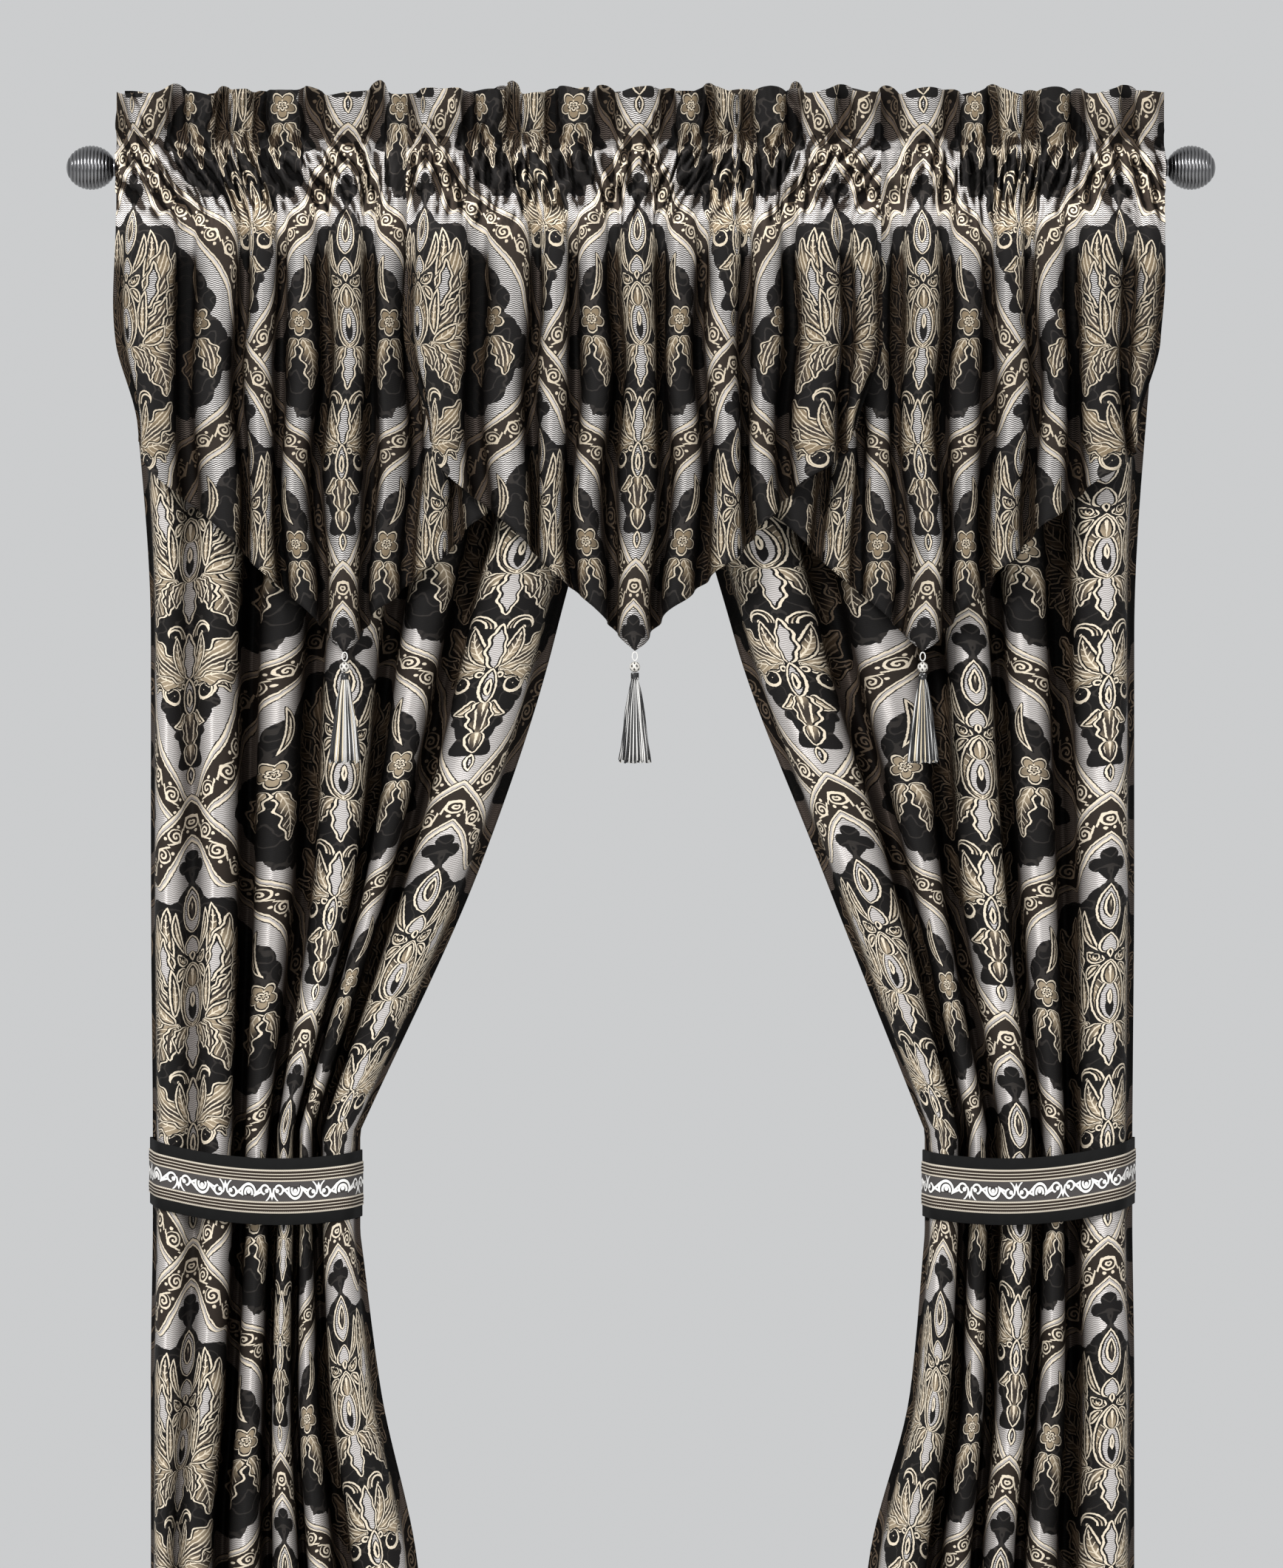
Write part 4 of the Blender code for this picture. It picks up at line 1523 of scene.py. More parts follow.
class Leaf(NamedTuple):
    """A pointed leaf of the damask: its foot, its tip, its half-width, how far it bows out, and its weave.

    Places are across from the axis and down from the crossing above, all in millimetres on the flat cloth.
    Its foot is round at 0.5 and pointed at 1.
    """

    foot: Pair
    tip: Pair
    width: float
    bow: float = 0.0
    fill: Fill = GOLD
    lobes: float = 0.0
    foot_point: float = 0.5

    @property
    def group(self) -> str:
        """Name of the node group that draws it."""
        return "damask_lobed_leaf" if self.lobes else "damask_leaf"

    def values(self) -> dict[str, Value]:
        """What it gives to its node group.

        Returns:
            The group's inputs by name. The width is scaled so that the widest place is as wide as it says.
        """
        run = Vector(self.tip) - Vector(self.foot)
        widest = self.foot_point / (self.foot_point + LEAF_TIP)
        full = 1 / (widest**self.foot_point * (1 - widest) ** LEAF_TIP)
        lobes = {"Lobes": self.lobes} if self.lobes else {}
        return dict(
            Foot=(*self.foot, 0), Along=(*(run / run.length_squared), 0), Length=run.length,
            Across=(*Vector((run.y, -run.x)).normalized(), 0), Width=self.width * full, Bow=self.bow * -4.0,
            Foot_Point=self.foot_point, **lobes,
        )


class Flower(NamedTuple):
    """A round flower of the damask: its middle, radius and petals."""

    middle: Pair
    radius: float
    petals: int
    fill: Fill = GOLD
    group = "damask_flower"
    def values(self) -> dict[str, Value]:
        """What it gives to its node group."""
        return dict(Middle=(*self.middle, 0), Radius=self.radius, Petals=float(self.petals))


class Curl(NamedTuple):
    """A scroll of the damask: its middle, radius, half the stroke's width, and where its outer end lies.

    start is a turn from straight up, clockwise, in degrees. The stroke winds inwards for its length in turns.
    """

    middle: Pair
    radius: float
    width: float
    start: float
    turns: float
    fill: Fill = GOLD
    group = "damask_curl"
    def values(self) -> dict[str, Value]:
        """What it gives to its node group."""
        return dict(
            Middle=(*self.middle, 0), Radius=self.radius, Width=self.width, Start=math.radians(self.start),
            Turns=self.turns,
        )


# from the ones behind to the ones in front
MOTIFS: tuple[Leaf | Flower | Curl, ...] = (
    # the great flower's leaves, from its top down its side
    Leaf((20, 128), (25, 80), 6.5, -4, GOLD, 0.0, 0.7),
    Leaf((31, 140), (51, 102), 10.0, -5, GOLD, 0.14),
    Leaf((20, 158), (38, 90), 11.5, -5, STRIPED, 0.18),
    Leaf((24, 172), (59, 130), 12.5, -5, GOLD, 0.14),
    Leaf((24, 186), (62, 190), 12.5, 5, STRIPED, 0.16),
    Leaf((20, 182), (56, 158), 10.5, -5, GOLD, 0.10),
    Leaf((20, 190), (54, 218), 12.5, 6, GOLD, 0.14),
    Leaf((16, 190), (40, 240), 13.5, 7, GOLD, 0.20),
    Leaf((22, 158), (29, 110), 7.0, -3, SILVER, 0.12),
    Leaf((20, 180), (41, 144), 7.5, -4, STRIPED, 0.14),
    Leaf((19, 190), (39, 172), 7.5, -3),
    Leaf((18, 192), (24, 226), 7.5, 3, STRIPED, 0.14),
    Leaf((20, 184), (23, 138), 6.0, 2),
    # the column in front of them
    Leaf((6, 125), (18.5, 84), 5.4, -5, GOLD, 0.0, 0.7),
    Leaf((0, 60), (0, 105), 10.8, 0, SILVER, 0.0, 0.9),
    Leaf((0, 68), (0, 94), 5.2, 0, STRIPED, 0.0, 0.9),
    Leaf((0, 126), (0, 107), 9.0, 0, SILVER, 0.0, 0.3),
    Leaf((7, 137), (17, 151), 5.2, 2),
    Leaf((4, 133), (17, 124), 6.0, -2),
    Curl((10.5, 129), 3.6, 1.6, 200, 0.8, SILVER),
    Leaf((4, 193), (17, 218), 8.5, 5, STRIPED, 0.10),
    Leaf((0, 190), (0, 234), 8.4, 0, SILVER, 0.12),
    Leaf((0, 194), (0, 132), 15.2),
    Leaf((0, 190), (0, 150), 10.4, 0, SILVER),
    Leaf((0, 187), (0, 168), 3.4, 0, BLACK, 0.0, 0.8),
    Leaf((0, 176), (0, 160), 3.0, 0, GOLD, 0.0, 0.6),
    Leaf((0, 156), (0, 134), 7.4, 0, STRIPED, 0.0, 0.4),
    Leaf((0, 132), (0, 122), 3.6, 0, SILVER, 0.0, 1.0),
    # the palmette
    Leaf((5, 286), (39, 302), 9.0, 8, GOLD, 0.18),
    Leaf((4, 286), (52, 274), 11.5, -6, GOLD, 0.22),
    Leaf((4, 284), (46, 244), 12.5, -7, STRIPED, 0.22),
    Curl((17, 245), 11.0, 4.4, 262, 0.55),
    Leaf((2, 284), (16, 244), 8.0, -4),
    Leaf((0, 286), (0, 241), 7.5, 0, SILVER, 0.10),
    # the vase, its scrolls and the pendant
    Curl((19, 300), 9.0, 2.8, 70, 0.95),
    Flower((6.5, 291), 4.0, 0),
    Leaf((6, 316), (20, 330), 6.2, -5),
    Leaf((0, 316), (0, 352), 9.6, 0, STRIPED, 0.12),
    Leaf((0, 319), (0, 284), 7.0, 0, SILVER),
    Leaf((0, 312), (0, 294), 3.4),
    Leaf((0, 347), (0, 368), 8.0, 0, STRIPED, 0.0, 0.3),
    Leaf((0, 386), (0, 368), 4.4, 0, SILVER, 0.0, 0.8),
    # beside the great flower
    Leaf((88, 184), (78, 233), 11.0, -6, GOLD, 0.18),
    Leaf((93, 184), (109, 222), 10.0, 5, STRIPED, 0.18),
    Leaf((91, 152), (84, 104), 5.4, 8, GOLD, 0.0, 0.8),
    Flower((90, 168), 15.0, 5),
    Flower((90, 168), 5.6, 5, STRIPED),
)
# the band's edges: run along it and place across it
BAND_OUTER = (
    (-60, 2), (-20, 19), (0, 20), (40, 17), (90, 20), (150, 34), (180, 21), (210, 6), (240, -2), (262, -6),
    (277, -3), (330, 24),
)
BAND_INNER = (
    (-60, -36), (20, -14), (45, -19), (62, -25), (69, -26), (76, -16), (100, -12), (140, -6), (170, -12),
    (205, -29), (240, -36), (262, -38), (277, -40), (330, -40),
)


MOTIF = {"Depth": Kind.NUMBER, "Cover": Kind.VECTOR}  # cover is depth, place across and place along plus fill


def leaf_group(lobed: bool) -> NodeTree:
    """A pointed leaf: how deep inside it a place lies, and that place across and along it.

    Args:
        lobed: whether its edge has lobes.

    Returns:
        The group.
    """
    numbers = ["Length", "Width", "Bow", "Fill", "Foot Point"] + ["Lobes"] * lobed
    name = "damask_lobed_leaf" if lobed else "damask_leaf"
    graph = Group(name, ("Place", "Foot", "Along", "Across"), numbers, MOTIF)
    place = graph.vector("SUBTRACT", graph["Place"], graph["Foot"])
    along = graph.vector("DOT_PRODUCT", place, graph["Along"])
    across = graph.vector("DOT_PRODUCT", place, graph["Across"])
    left = 1.0 - along
    across = graph.math("MULTIPLY_ADD", along * left, graph["Bow"], across)
    shape = graph.math("POWER", graph.most(along, 0.0), graph["Foot Point"])
    width = shape * graph.math("POWER", graph.most(left, 0.0), LEAF_TIP) * graph["Width"]
    if lobed:
        width = width * graph.math("MULTIPLY_ADD", graph.sine(along * 21.0), graph["Lobes"], 1.0)
    depth = width - abs(across)
    far = graph.math("MULTIPLY_ADD", along, graph["Length"], graph["Fill"])
    return graph.give(Depth=depth, Cover=graph.join(depth, across, far))


def flower_group() -> NodeTree:
    """A flower of round petals: depth inside it, and the place across and out along its nearest petal.

    Returns:
        The group.
    """
    graph = Group("damask_flower", ("Place", "Middle"), ("Radius", "Petals", "Fill"), MOTIF)
    place = graph.vector("SUBTRACT", graph["Place"], graph["Middle"])
    x, y, _ = graph.split(place)
    radius = graph.vector("LENGTH", place)
    turn = graph.math("ARCTAN2", x, y)
    petal = graph.math("COSINE", turn * graph["Petals"] * 0.5)
    depth = (0.64 + abs(petal) * 0.36) * graph["Radius"] - radius
    cover = graph.join(depth, petal * radius * 0.5, radius + graph["Fill"])
    return graph.give(Depth=depth, Cover=cover)


def curl_group() -> NodeTree:
    """A scroll that winds inwards: depth inside its stroke, and the place across and along it.

    Returns:
        The group.
    """
    graph = Group("damask_curl", ("Place", "Middle"), ("Radius", "Width", "Start", "Turns", "Fill"), MOTIF)
    place = graph.vector("SUBTRACT", graph["Place"], graph["Middle"])
    x, y, _ = graph.split(place)
    radius = graph.vector("LENGTH", place)
    angle = graph.math("ARCTAN2", x, y * -1.0) - graph["Start"]
    turn = graph.wrap(angle * (0.5 / pi), 0.0, 1.0)
    share = turn / graph["Turns"]
    across = radius - graph["Radius"] * (1.0 - share * 0.38)
    width = graph["Width"] * graph.math("SQRT", 1.06 - share)
    end = graph.math("MULTIPLY_ADD", graph["Width"], 0.55, radius * -1.0)  # a round end in its middle
    depth = graph.most(width - abs(across), end)
    far = graph.math("MULTIPLY_ADD", turn, 40.0, graph["Fill"])
    return graph.give(Depth=depth, Cover=graph.join(depth, across, far))


def motifs_group() -> NodeTree:
    """All motifs, the front ones over the ones behind.

    Returns:
        The group, which gives the cover of the foremost motif at a place inside an ogee.
    """
    graph = Group("damask_motifs", ("Place",), (), {"Cover": Kind.VECTOR})
    made = (leaf_group(False), leaf_group(True), flower_group(), curl_group())
    groups = {group.name: group for group in made}
    place = graph["Place"]
    cover: Value = (-9.0, 0.0, 0.0)
    for motif in MOTIFS:
        fill = FILL_STEP * motif.fill.value
        found = graph.use(groups[motif.group], Place=place, Fill=fill, **motif.values())
        ways = (found["Depth"] > 0.0, *[None] * 3, cover, found["Cover"])
        cover = graph.node("Mix", ways, 1, data_type="VECTOR")
    return graph.give(Cover=cover)


def lattice_group() -> NodeTree:
    """The half-drop repeat: place inside an ogee, the band's edges there and the run along the band.

    Its place is in millimetres on the flat cloth. Inner and Outer are distances past the band's two edges,
    above 0 outside the band. Run goes along it.

    Returns:
        The group.
    """
    outputs = {"Place": Kind.VECTOR, "Inner": Kind.NUMBER, "Outer": Kind.NUMBER, "Run": Kind.NUMBER}
    graph = Group("damask_lattice", ("Place",), (), outputs)

    def band(x: Term, y: Term) -> tuple[Term, Term, Term]:
        """Run along the band at a place, and distances past its outer and its inner edge."""
        run, across = (x + y) * DIAGONAL, (x - y) * DIAGONAL
        return run, across - graph.curve(run, BAND_OUTER), graph.curve(run, BAND_INNER) - across

    u, v, _ = graph.split(graph["Place"])
    side = graph.math("PINGPONG", u, HALF_WIDTH)
    down = graph.wrap(v, 0.0, 2 * HALF_HEIGHT)
    low = down > HALF_HEIGHT
    x = side + low * (HALF_WIDTH - side * 2.0)
    y = down - low * HALF_HEIGHT
    run, outer, inner = band(x, y)
    next_run, next_outer, next_inner = band(HALF_WIDTH - x, y - HALF_HEIGHT)
    arch = (y > 165.0) * (next_outer < 0.0)  # the next arch starts in front of this band's end
    outside = (outer > 0.0) * (1.0 - arch)
    return graph.give(
        Inner=graph.mix(arch, inner, next_inner), Outer=graph.mix(arch, outer, next_outer),
        Run=graph.mix(arch, run, next_run),
        Place=graph.join(x + outside * (HALF_WIDTH - x * 2.0), y + outside * HALF_HEIGHT),
    )


def filigree_group() -> NodeTree:
    """Running scrolls inside a band.

    Returns:
        The group, which gives 1 on the thread of the scrolls.
    """
    graph = Group("band_filigree", (), ("Run", "Across"), {"Line": Kind.NUMBER})
    run = graph["Run"]
    cell = graph.wrap(run, -11.0, 11.0)
    flip = (graph.wrap(run, -11.0, 33.0) > 11.0) * -2.0 + 1.0  # every second scroll is upside down
    y = graph["Across"] * flip
    radius = graph.length(cell, y - 1.5)
    turn = graph.math("ARCTAN2", y - 1.5, cell)
    spiral = graph.wrap(radius - turn * 0.62, 0.0, 3.9)
    line = (abs(spiral - 1.95) < 0.85) * (radius < 7.4)
    stem = abs(y + 5.0 - abs(cell) * 0.55) < 0.8
    dots = graph.length(abs(cell) - 8.6, y - 6.2) < 1.5
    return graph.give(Line=graph.most(line, stem, dots))


@dataclass(frozen=True)
class Damask:
    """The jacquard's threads and how they lie."""

    ground: Colour = (0.0095, 0.0088, 0.0086, 1)
    shade: Colour = (0.026, 0.023, 0.021, 1)
    silver: Colour = (0.380, 0.354, 0.340, 1)
    satin: Colour = (0.520, 0.490, 0.474, 1)
    bright: Colour = (0.49, 0.472, 0.460, 1)
    dull: Colour = (0.050, 0.045, 0.042, 1)
    cream: Colour = (0.74, 0.650, 0.515, 1)
    straw: Colour = (0.47, 0.405, 0.310, 1)
    pale: Colour = (0.33, 0.265, 0.185, 1)
    gold: Colour = (0.115, 0.082, 0.046, 1)
    taupe: Colour = (0.036, 0.029, 0.024, 1)
    # painted shade: the tint of the folds' depths
    shadow: Colour = (0.070, 0.048, 0.034, 1)
    brown: Colour = (0.026, 0.020, 0.016, 1)
    # painted sheen: the factor that brightens the pocket's ridges
    painted_sheen: Colour = (2.00, 1.98, 1.97, 1)

    def materials(self, name: str, weave: NodeTree, contrast: float) -> list[Material]:
        """The face and the back of the cloth; the back shows the same threads darker and duller.

        Args:
            name: what both names start with.
            weave: the group that draws the pattern.
            contrast: how dark the lines between the silver threads and the motifs' bodies are, from 0 to 1.

        Returns:
            The two materials.
        """
        made = []
        for side, front in (("_face", True), ("_back", False)):
            cloth = Surface(name + side, Specular_IOR_Level=0.06)
            found = cloth.use(weave, Place=cloth.flat_place("cloth"), Contrast=contrast)
            painted_shade_and_sheen = cloth.attribute("painted_shade_and_sheen")
            colour, satin = found["Colour"], found["Satin"]
            if not front:
                colour = cloth.blend(0.55, colour, self.taupe)
            # painted sheen where the attribute is below 0, painted shade where it is above 0, weaker on the
            # back
            colour = cloth.blend(cloth.step(painted_shade_and_sheen, 0.0, -0.8), colour, cloth.tinted(colour, self.painted_sheen))
            shade = cloth.step(painted_shade_and_sheen, 0.08, 0.56) * (0.95 if front else 0.80)
            colour = cloth.blend(shade, colour, cloth.tinted(colour, self.shadow))
            cloth.bump(found["Height"], 0.5 if front else 0.3, 0.0004)
            made.append(cloth.finish(Base_Color=colour, Roughness=0.60 - satin * 0.22, Metallic=satin * 0.35))
        return made


class Weave(Group):
    """The damask's pattern: colour, share of satin and height at a place on the flat cloth in metres."""

    def __init__(self, threads: Damask) -> None:
        """Write the whole pattern.

        Args:
            threads: the threads' colours.
        """
        outputs = {"Colour": Kind.COLOUR, "Satin": Kind.NUMBER, "Height": Kind.NUMBER}
        super().__init__("damask_weave", ("Place",), ("Contrast",), outputs)
        self.threads = threads
        self.contrast = self["Contrast"]
        place = self.in_mm(self["Place"])
        u, v, _ = self.split(place)
        drift = self.node("TexNoise", (place, None, 0.35, 1.0), 1)
        drifted = self.vector("MULTIPLY_ADD", drift, (1.3, 1.3, 0.0), place)
        self.lattice = self.use(lattice_group(), Place=drifted)
        self.edge = self.most(self.lattice["Inner"], self.lattice["Outer"])  # distance past the nearer edge
        zigzag = self.sine(v * 3.1 + self.sine(u * 1.25) * 1.3)
        dip = self.blend(self.contrast, threads.silver, threads.dull)
        peak = self.blend(self.contrast, threads.satin, threads.bright)
        self.silver = self.blend(self.step(zigzag, -0.45, 0.45), dip, peak)
        self.light = self.blend(self.contrast, threads.cream, threads.straw)
        black, dark = self.field()
        inside, motif = self.motif()
        colour = self.blend(black, self.silver, dark)
        colour = self.blend(inside * (self.edge > 0.0), colour, motif)
        colour = self.blend(self.edge < 0.0, colour, self.band())
        height = zigzag * 0.30 + self.sine(v * 8.4) * 0.35
        self.give(Colour=colour, Satin=(1.0 - black) * (self.edge > 0.0), Height=height)

    def field(self) -> tuple[Term, Term]:
        """The black field with a scalloped edge inside an ogee.

        Returns:
            1 in the field, and its colour.
        """
        place = self.lattice["Place"]
        values = (place, None, 0.050, *[None] * 5, 0.75)
        lobes = self.node("TexVoronoi", values, voronoi_dimensions="2D", feature="F1")
        large = (1.0 - abs(self.sine(self.lattice["Run"] * 0.045 + 0.9))) * 7.5
        across, down, _ = self.split(place)
        top_lobe = 7.0 - self.length(across, down - 34.0)
        side_lobe = 6.5 - self.length(abs(across) - 8.5, down - 43.0)
        field = self.least(self.edge - 3.0 - lobes * 18.0 - large, down - 37.0)
        field = self.most(field, self.most(top_lobe, side_lobe))
        ghost = self.step(abs(self.noise(place, 0.055) - 0.5), 0.030, 0.012)
        return field > 0.0, self.blend(ghost, self.threads.ground, self.threads.shade)

    def motif(self) -> tuple[Term, Term]:
        """The motifs: outlined leaves, flowers and scrolls with veins or stripes.

        Returns:
            1 inside a motif, and its colour.
        """
        depth, across, far = self.split(self.use(motifs_group(), Place=self.lattice["Place"])["Cover"])
        kind = self.math("FLOOR", far / FILL_STEP)
        along = far - kind * FILL_STEP
        is_fill = {fill: self.math("COMPARE", kind, float(fill.value), 0.5) for fill in Fill}
        veins = (self.wrap(along - abs(across) * 1.15, 0.0, 6.6) < 1.1) * is_fill[GOLD]
        stripes = (self.wrap(across + along * 0.08, 0.0, 3.8) < 1.25) * is_fill[STRIPED]
        light = self.most(veins, stripes, (abs(across) < 0.6) * is_fill[GOLD]) * (depth > 4.2)
        tint = self.step(self.sine(along * 0.13 + across * 0.21 + kind), -1.0, 1.0)
        rich = self.blend(self.contrast * 0.70, self.threads.pale, self.threads.gold)
        body = self.blend(tint, self.threads.taupe, rich)
        body = self.blend(is_fill[SILVER], body, self.silver)
        body = self.blend(is_fill[BLACK], body, self.threads.ground)
        body = self.blend(light, body, self.light)
        groove = (depth < 1.0) + (depth > 2.5) * (depth < 3.8)
        body = self.blend(groove, body, self.threads.ground)
        outline = (depth > 1.0) * (depth < 2.5) * (1.0 - is_fill[BLACK])
        return depth > 0.0, self.blend(outline, body, self.light)

    def band(self) -> Term:
        """Colour of the bands: a running scroll between corded rails.

        Returns:
            The colour.
        """
        side = (self.lattice["Inner"] - self.lattice["Outer"]) * 0.5
        filigree = self.use(filigree_group(), Run=self.lattice["Run"], Across=side)["Line"]
        band = self.blend(filigree * (self.edge < -7.6), self.threads.brown, self.light)
        stripe = self.wrap(self.edge * -1.0, 0.0, 7.0)
        corded = (stripe > 0.9) * (stripe < 2.7) + (stripe > 5.0) * (stripe < 6.4)
        rails = self.blend(corded, self.threads.ground, self.light)
        rails = self.blend((stripe > 2.7) * (stripe < 4.4), rails, self.threads.silver)
        return self.blend(self.edge > -7.0, band, rails)


# ---- finishes of the trims and the rod
@dataclass(frozen=True)
class BlackSatin:
    """Matt black satin with a fine twill."""

    colour: Colour = (0.0055, 0.0055, 0.0055, 1)
    lit: Colour = (0.009, 0.009, 0.009, 1)

    def material(self) -> Material:
        """The satin.

        Returns:
            The material.
        """
        satin = Surface("black_satin", Specular_IOR_Level=0.06)
        place = satin.in_mm(satin.flat_place("band"))
        up, along, _ = satin.split(place)
        cloudy = satin.noise(place, 0.12, 2.0)
        satin.bump(satin.sine((up + along) * 7.0), 0.25, 0.0002)
        colour = satin.blend(cloudy, self.colour, self.lit)
        return satin.finish(Base_Color=colour, Roughness=0.62 + cloudy * 0.15)


@dataclass(frozen=True)
class WovenBraid:
    """Braid with a scalloped cream edge, cream stripes and a white running scroll on grey."""

    grey: Colour = (0.046, 0.042, 0.041, 1)
    light_grey: Colour = (0.078, 0.072, 0.070, 1)
    black: Colour = (0.012, 0.010, 0.010, 1)
    white: Colour = (0.70, 0.69, 0.67, 1)
    cream: Colour = (0.57, 0.51, 0.42, 1)
    brown: Colour = (0.022, 0.015, 0.011, 1)
    half_repeat: float = 22.0  # of the scroll, in millimetres

    def scroll(self) -> NodeTree:
        """The running scroll: distance to its thread's middle, from a place up and along, in millimetres.
        A budded arch stands at the start of each repeat and a pair of scrolls that face each other at its
        middle; every second repeat is turned upside down.

        Returns:
            The group.
        """
        graph = Group("braid_scroll", (), ("Up", "Along"), {"Away": Kind.NUMBER})
        half = self.half_repeat
        up, along = graph["Up"], graph["Along"]
        flip = (graph.wrap(along, 0.0, 4 * half) > 2 * half) * -2.0 + 1.0
        cell = abs(graph.wrap(along, -half, half))
        y = up * flip * 0.84
        far = half - cell
        bud_flip = (graph.wrap(along + half, 0.0, 4 * half) > 2 * half) * 2.0 - 1.0
        bud_y = up * bud_flip * 0.84
        ring = abs(graph.length(far - 6.6, y + 1.4) - 3.6)
        hook = graph.most(ring, (6.6 - far) * 0.7 + (y + 1.4) * 0.7 - 1.6)
        heart = graph.length(far - 5.0, y + 0.6) - 0.9
        tail = graph.most(abs(y + 2.2 - (far - 11.0) * 0.95) * 0.72, abs(far - 13.0) - 3.4)
        petals = graph.most(abs(far - 1.4 - (y - 0.5) * (y - 0.5) * 0.085), abs(y - 2.4) - 4.6)
        spear = graph.most(far * 1.3 + abs(y - 3.6) * 0.5 - 0.9, 0.0)
        arch = graph.length(cell * 0.9, bud_y * 0.8 + 1.2)
        arches = graph.most(graph.least(abs(arch - 5.6), abs(arch - 3.0)), -2.4 - bud_y)
        seed = graph.length(cell, bud_y + 0.6) - 0.8
        wing = graph.most(abs(bud_y + 3.0 - (cell - 6.0) * 0.45) * 0.9, abs(cell - 8.6) - 2.6)
        return graph.give(Away=graph.least(9.0, hook, heart, tail, petals, spear, arches, seed, wing))

    def material(self) -> Material:
        """The braid.

        Returns:
            The material.
        """
        braid = Surface("woven_braid", Roughness=0.7, Specular_IOR_Level=0.1)
        up, along, _ = braid.split(braid.in_mm(braid.flat_place("braid")))
        side = abs(up)
        away = braid.use(self.scroll(), Up=up, Along=along)["Away"]
        line = away < 0.85
        ribs = braid.sine(along * 9.0)
        middle = braid.blend(braid.step(ribs, -0.4, 1.4), self.grey, self.light_grey)
        middle = braid.blend((away < 1.40) * (side < 8.6), middle, self.black)
        middle = braid.blend(line * (side < 8.8), middle, self.white)
        stripes = (side > 9.4) * (side < 10.9) + (side > 13.0) * (side < 13.9) + (side > 15.9) * (side < 16.8)
        picot = side > braid.math("MULTIPLY_ADD", abs(braid.sine(along * 1.75)), 0.8, 18.5)
        twist = braid.step(braid.sine(along * 3.5 + side * 2.5), -1.0, 1.0)
        light = braid.blend(twist * 0.45 + 0.55, self.light_grey, self.cream)
        edge = braid.blend(braid.least(stripes + picot, 1.0), self.brown, light)
        braid.bump(ribs * 0.3 + line * 0.8 + stripes * 0.6 + picot * 0.5, 0.5, 0.0003)
        return braid.finish(Base_Color=braid.blend(side < 9.2, edge, middle))


@dataclass(frozen=True)
class StrandFinish:
    """Threads picked by their tone: black, cream or white; over 1.5 black with white flecks."""

    name: str
    black: Colour = (0.010, 0.010, 0.011, 1)
    cream: Colour = (0.62, 0.53, 0.38, 1)
    white: Colour = (0.66, 0.65, 0.63, 1)
    black_share: float = 0.47
    cream_share: float = 0.10

    def material(self) -> Material:
        """The threads.

        Returns:
            The material.
        """
        threads = Surface(self.name)
        tone = threads.attribute("tone")
        fleck = threads.noise(threads.own_place(), 420.0)
        wound = tone > 1.5
        colour = threads.blend(tone < self.black_share + self.cream_share, self.white, self.cream)
        colour = threads.blend((tone < self.black_share) + wound, colour, self.black)
        colour = threads.blend(threads.step(fleck, 0.62, 0.70) * wound, colour, self.white)
        return threads.finish(Base_Color=colour, Roughness=0.40 + fleck * 0.2)


@dataclass(frozen=True)
class NetFinish:
    """White thread with dark gaps wound crosswise over a bead."""

    white: Colour = (0.55, 0.53, 0.49, 1)
    dark: Colour = (0.035, 0.030, 0.026, 1)

    def material(self) -> Material:
        """The net.

        Returns:
            The material.
        """
        net = Surface("silver_net")
        fleck = net.noise(net.own_place(), 500.0)
        gap = net.step(net.attribute("rib") + fleck * 0.25, 0.78, 0.48)
        return net.finish(Base_Color=net.blend(gap, self.white, self.dark), Roughness=0.32 + fleck * 0.2)


@dataclass(frozen=True)
class Metal:
    """A metal with fine turning marks and painted shade in its grooves."""

    name: str
    colour: Colour
    # painted shade in the grooves
    groove: Colour
    metallic: float
    roughness: float

    def material(self) -> Material:
        """The metal.

        Returns:
            The material.
        """
        metal = Surface(self.name, Metallic=self.metallic)
        # painted shade: the groove colour darkens the turned grooves
        colour = metal.blend(metal.attribute("groove"), self.colour, self.groove)
        marks = metal.noise(metal.vector("MULTIPLY", metal.own_place(), (900.0, 60.0, 60.0)), 1.0, 2.0)
        metal.bump(marks, 0.08, 0.0002)
        return metal.finish(Base_Color=colour, Roughness=self.roughness + marks * 0.1)


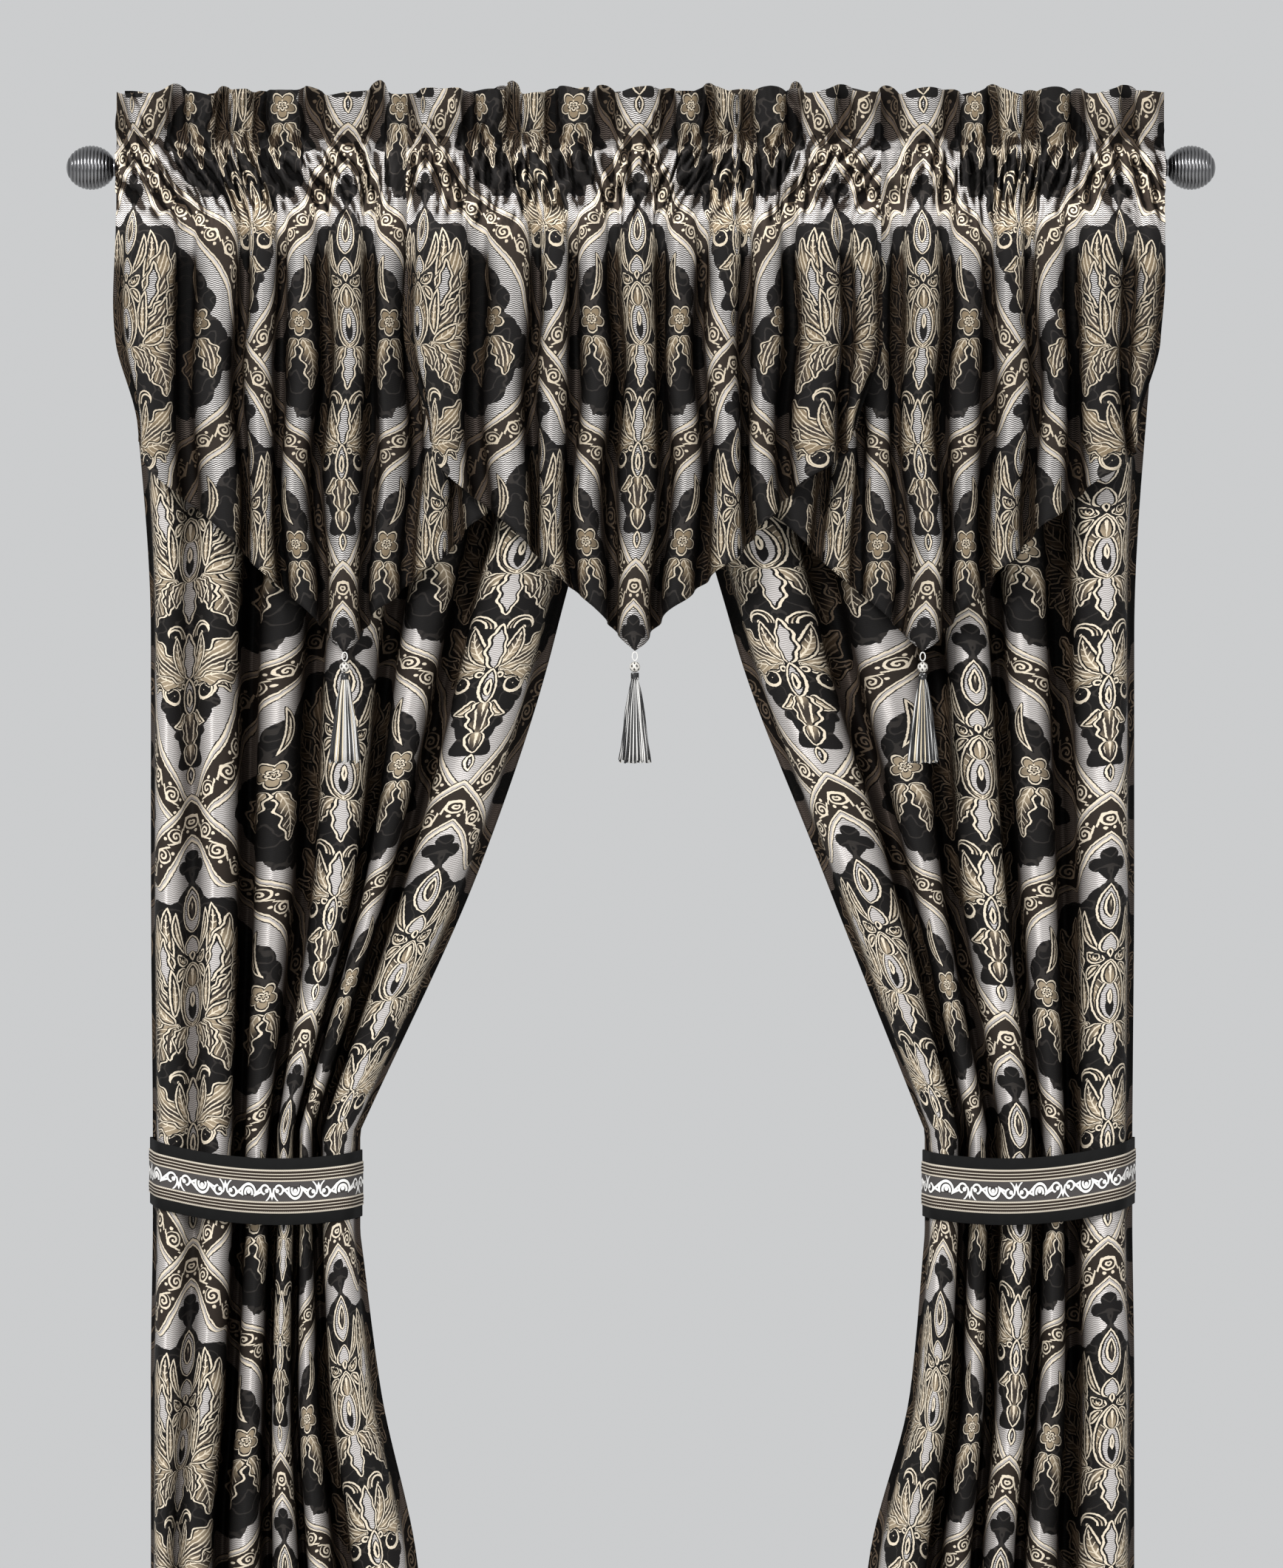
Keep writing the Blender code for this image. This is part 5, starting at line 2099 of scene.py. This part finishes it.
# ---- stage, light and camera
@dataclass
class Stage:
    """A plain pale floor under an even pale world, with soft light and a long lens straight in front."""

    distance: float = 7.03
    frame_height: float = 1.4847
    middle_x: float = 0.0005
    middle_z: float = -0.5835
    floor_z: float = -2.058
    floor_colour: Colour = (0.72, 0.72, 0.71, 1)
    sensor: float = 36.0

    def build(self) -> None:
        """Make the floor, the world, the lights and the camera."""
        self.build_floor()
        self.build_world()
        self.light("key", Vector((-2.2, -4.2, 2.4)), Vector((0, 0, -0.45)), 1.3, 330)
        self.light("fill", Vector((3.2, -4.0, 0.4)), Vector((0, 0, -0.6)), 2.2, 80)
        self.build_camera()

    def build_floor(self) -> None:
        """A plain pale floor under the hem."""
        bm = bmesh.new()
        bmesh.ops.create_grid(bm, x_segments=1, y_segments=1, size=4.0)
        floor = finish_mesh("floor", bm)
        floor.location.z = self.floor_z
        pale = Surface("pale_floor", Base_Color=self.floor_colour, Roughness=0.8)
        floor.data.materials.append(pale.material)

    def build_world(self) -> None:
        """Even pale light from all round."""
        world = bpy.data.worlds.new("pale_studio")
        bpy.context.scene.world = world
        world.use_nodes = True
        background = world.node_tree.nodes["Background"]
        background.inputs["Color"].default_value = (0.86, 0.87, 0.88, 1)
        background.inputs["Strength"].default_value = 0.70

    def light(self, name: str, place: Vector, target: Vector, size: float, power: float) -> None:
        """A square soft light that looks at a target.

        Args:
            name: name of the light.
            place: where it is.
            target: what it looks at.
            size: its side, in metres.
            power: its power, in watts.
        """
        lamp = bpy.data.lights.new(name, "AREA")
        lamp.size = size
        lamp.energy = power
        made = linked(name, lamp)
        made.location = place
        made.rotation_euler = (target - place).to_track_quat("-Z", "Y").to_euler()

    def build_camera(self) -> None:
        """A long lens level with the middle of the drape's upper part."""
        lens = bpy.data.cameras.new("camera")
        lens.sensor_width = self.sensor
        lens.lens = self.sensor * self.distance / self.frame_height
        camera = linked("camera", lens)
        camera.location = (self.middle_x, -self.distance, self.middle_z)
        camera.rotation_euler = (pi / 2, 0, 0)
        bpy.context.scene.camera = camera
        bpy.context.scene.view_settings.view_transform = "Standard"


# ---- the whole drape
def corners(box: tuple[Vector, Vector]) -> list[list[float]]:
    """A box's two corners as plain lists."""
    return [[float(value) for value in corner] for corner in box]


def main() -> None:
    """Build every piece on the frame."""
    logging.basicConfig(level=logging.INFO, format="%(message)s")
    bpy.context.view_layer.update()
    damask = Damask()
    weave = Weave(damask).tree
    soft = damask.materials("damask", weave, contrast=0.35)
    crisp = damask.materials("gathered_damask", weave, contrast=1.0)
    satin, woven = BlackSatin().material(), WovenBraid().material()
    thread = StrandFinish("white_thread", black_share=-1.0, cream_share=0.0).material()
    covered, strands = NetFinish().material(), StrandFinish("rayon_strands").material()
    for side, folds, seed in ((Side.LEFT, LEFT_FOLDS, 11), (Side.RIGHT, RIGHT_FOLDS, 23)):
        panel = Panel(side, folds, seed).build(soft)
        TieBand(side, panel).build(satin, woven)
    centre_x = -0.0056
    left_edge, right_edge = (centre_x + BODY_CRESTS[end] * MM for end in (0, -1))
    plans = (
        Valance(Side.LEFT, -0.2807, SIDE_VALANCE_FRONT, 5, cover_edge=left_edge),
        Valance(Side.RIGHT, 0.2625, SIDE_VALANCE_FRONT, 9, cover_edge=right_edge),
        Valance(Side.CENTRE, centre_x, CENTRE_VALANCE_FRONT, 31),
    )
    for plan in plans:
        plan.build(crisp)
        Tassel(plan.side, plan.point()).build(thread, covered, strands)
    steel = Metal("satin_black_steel", (0.012, 0.012, 0.013, 1), (0.01, 0.01, 0.01, 1), 0.0, 0.35)
    # its groove colour is painted shade in the finials' grooves
    pewter = Metal("polished_pewter", (0.230, 0.230, 0.236, 1), (0.03, 0.03, 0.032, 1), 1.0, 0.22)
    CurtainRod().build(steel.material(), pewter.material())
    Stage().build()


if __name__ == "__main__":
    main()
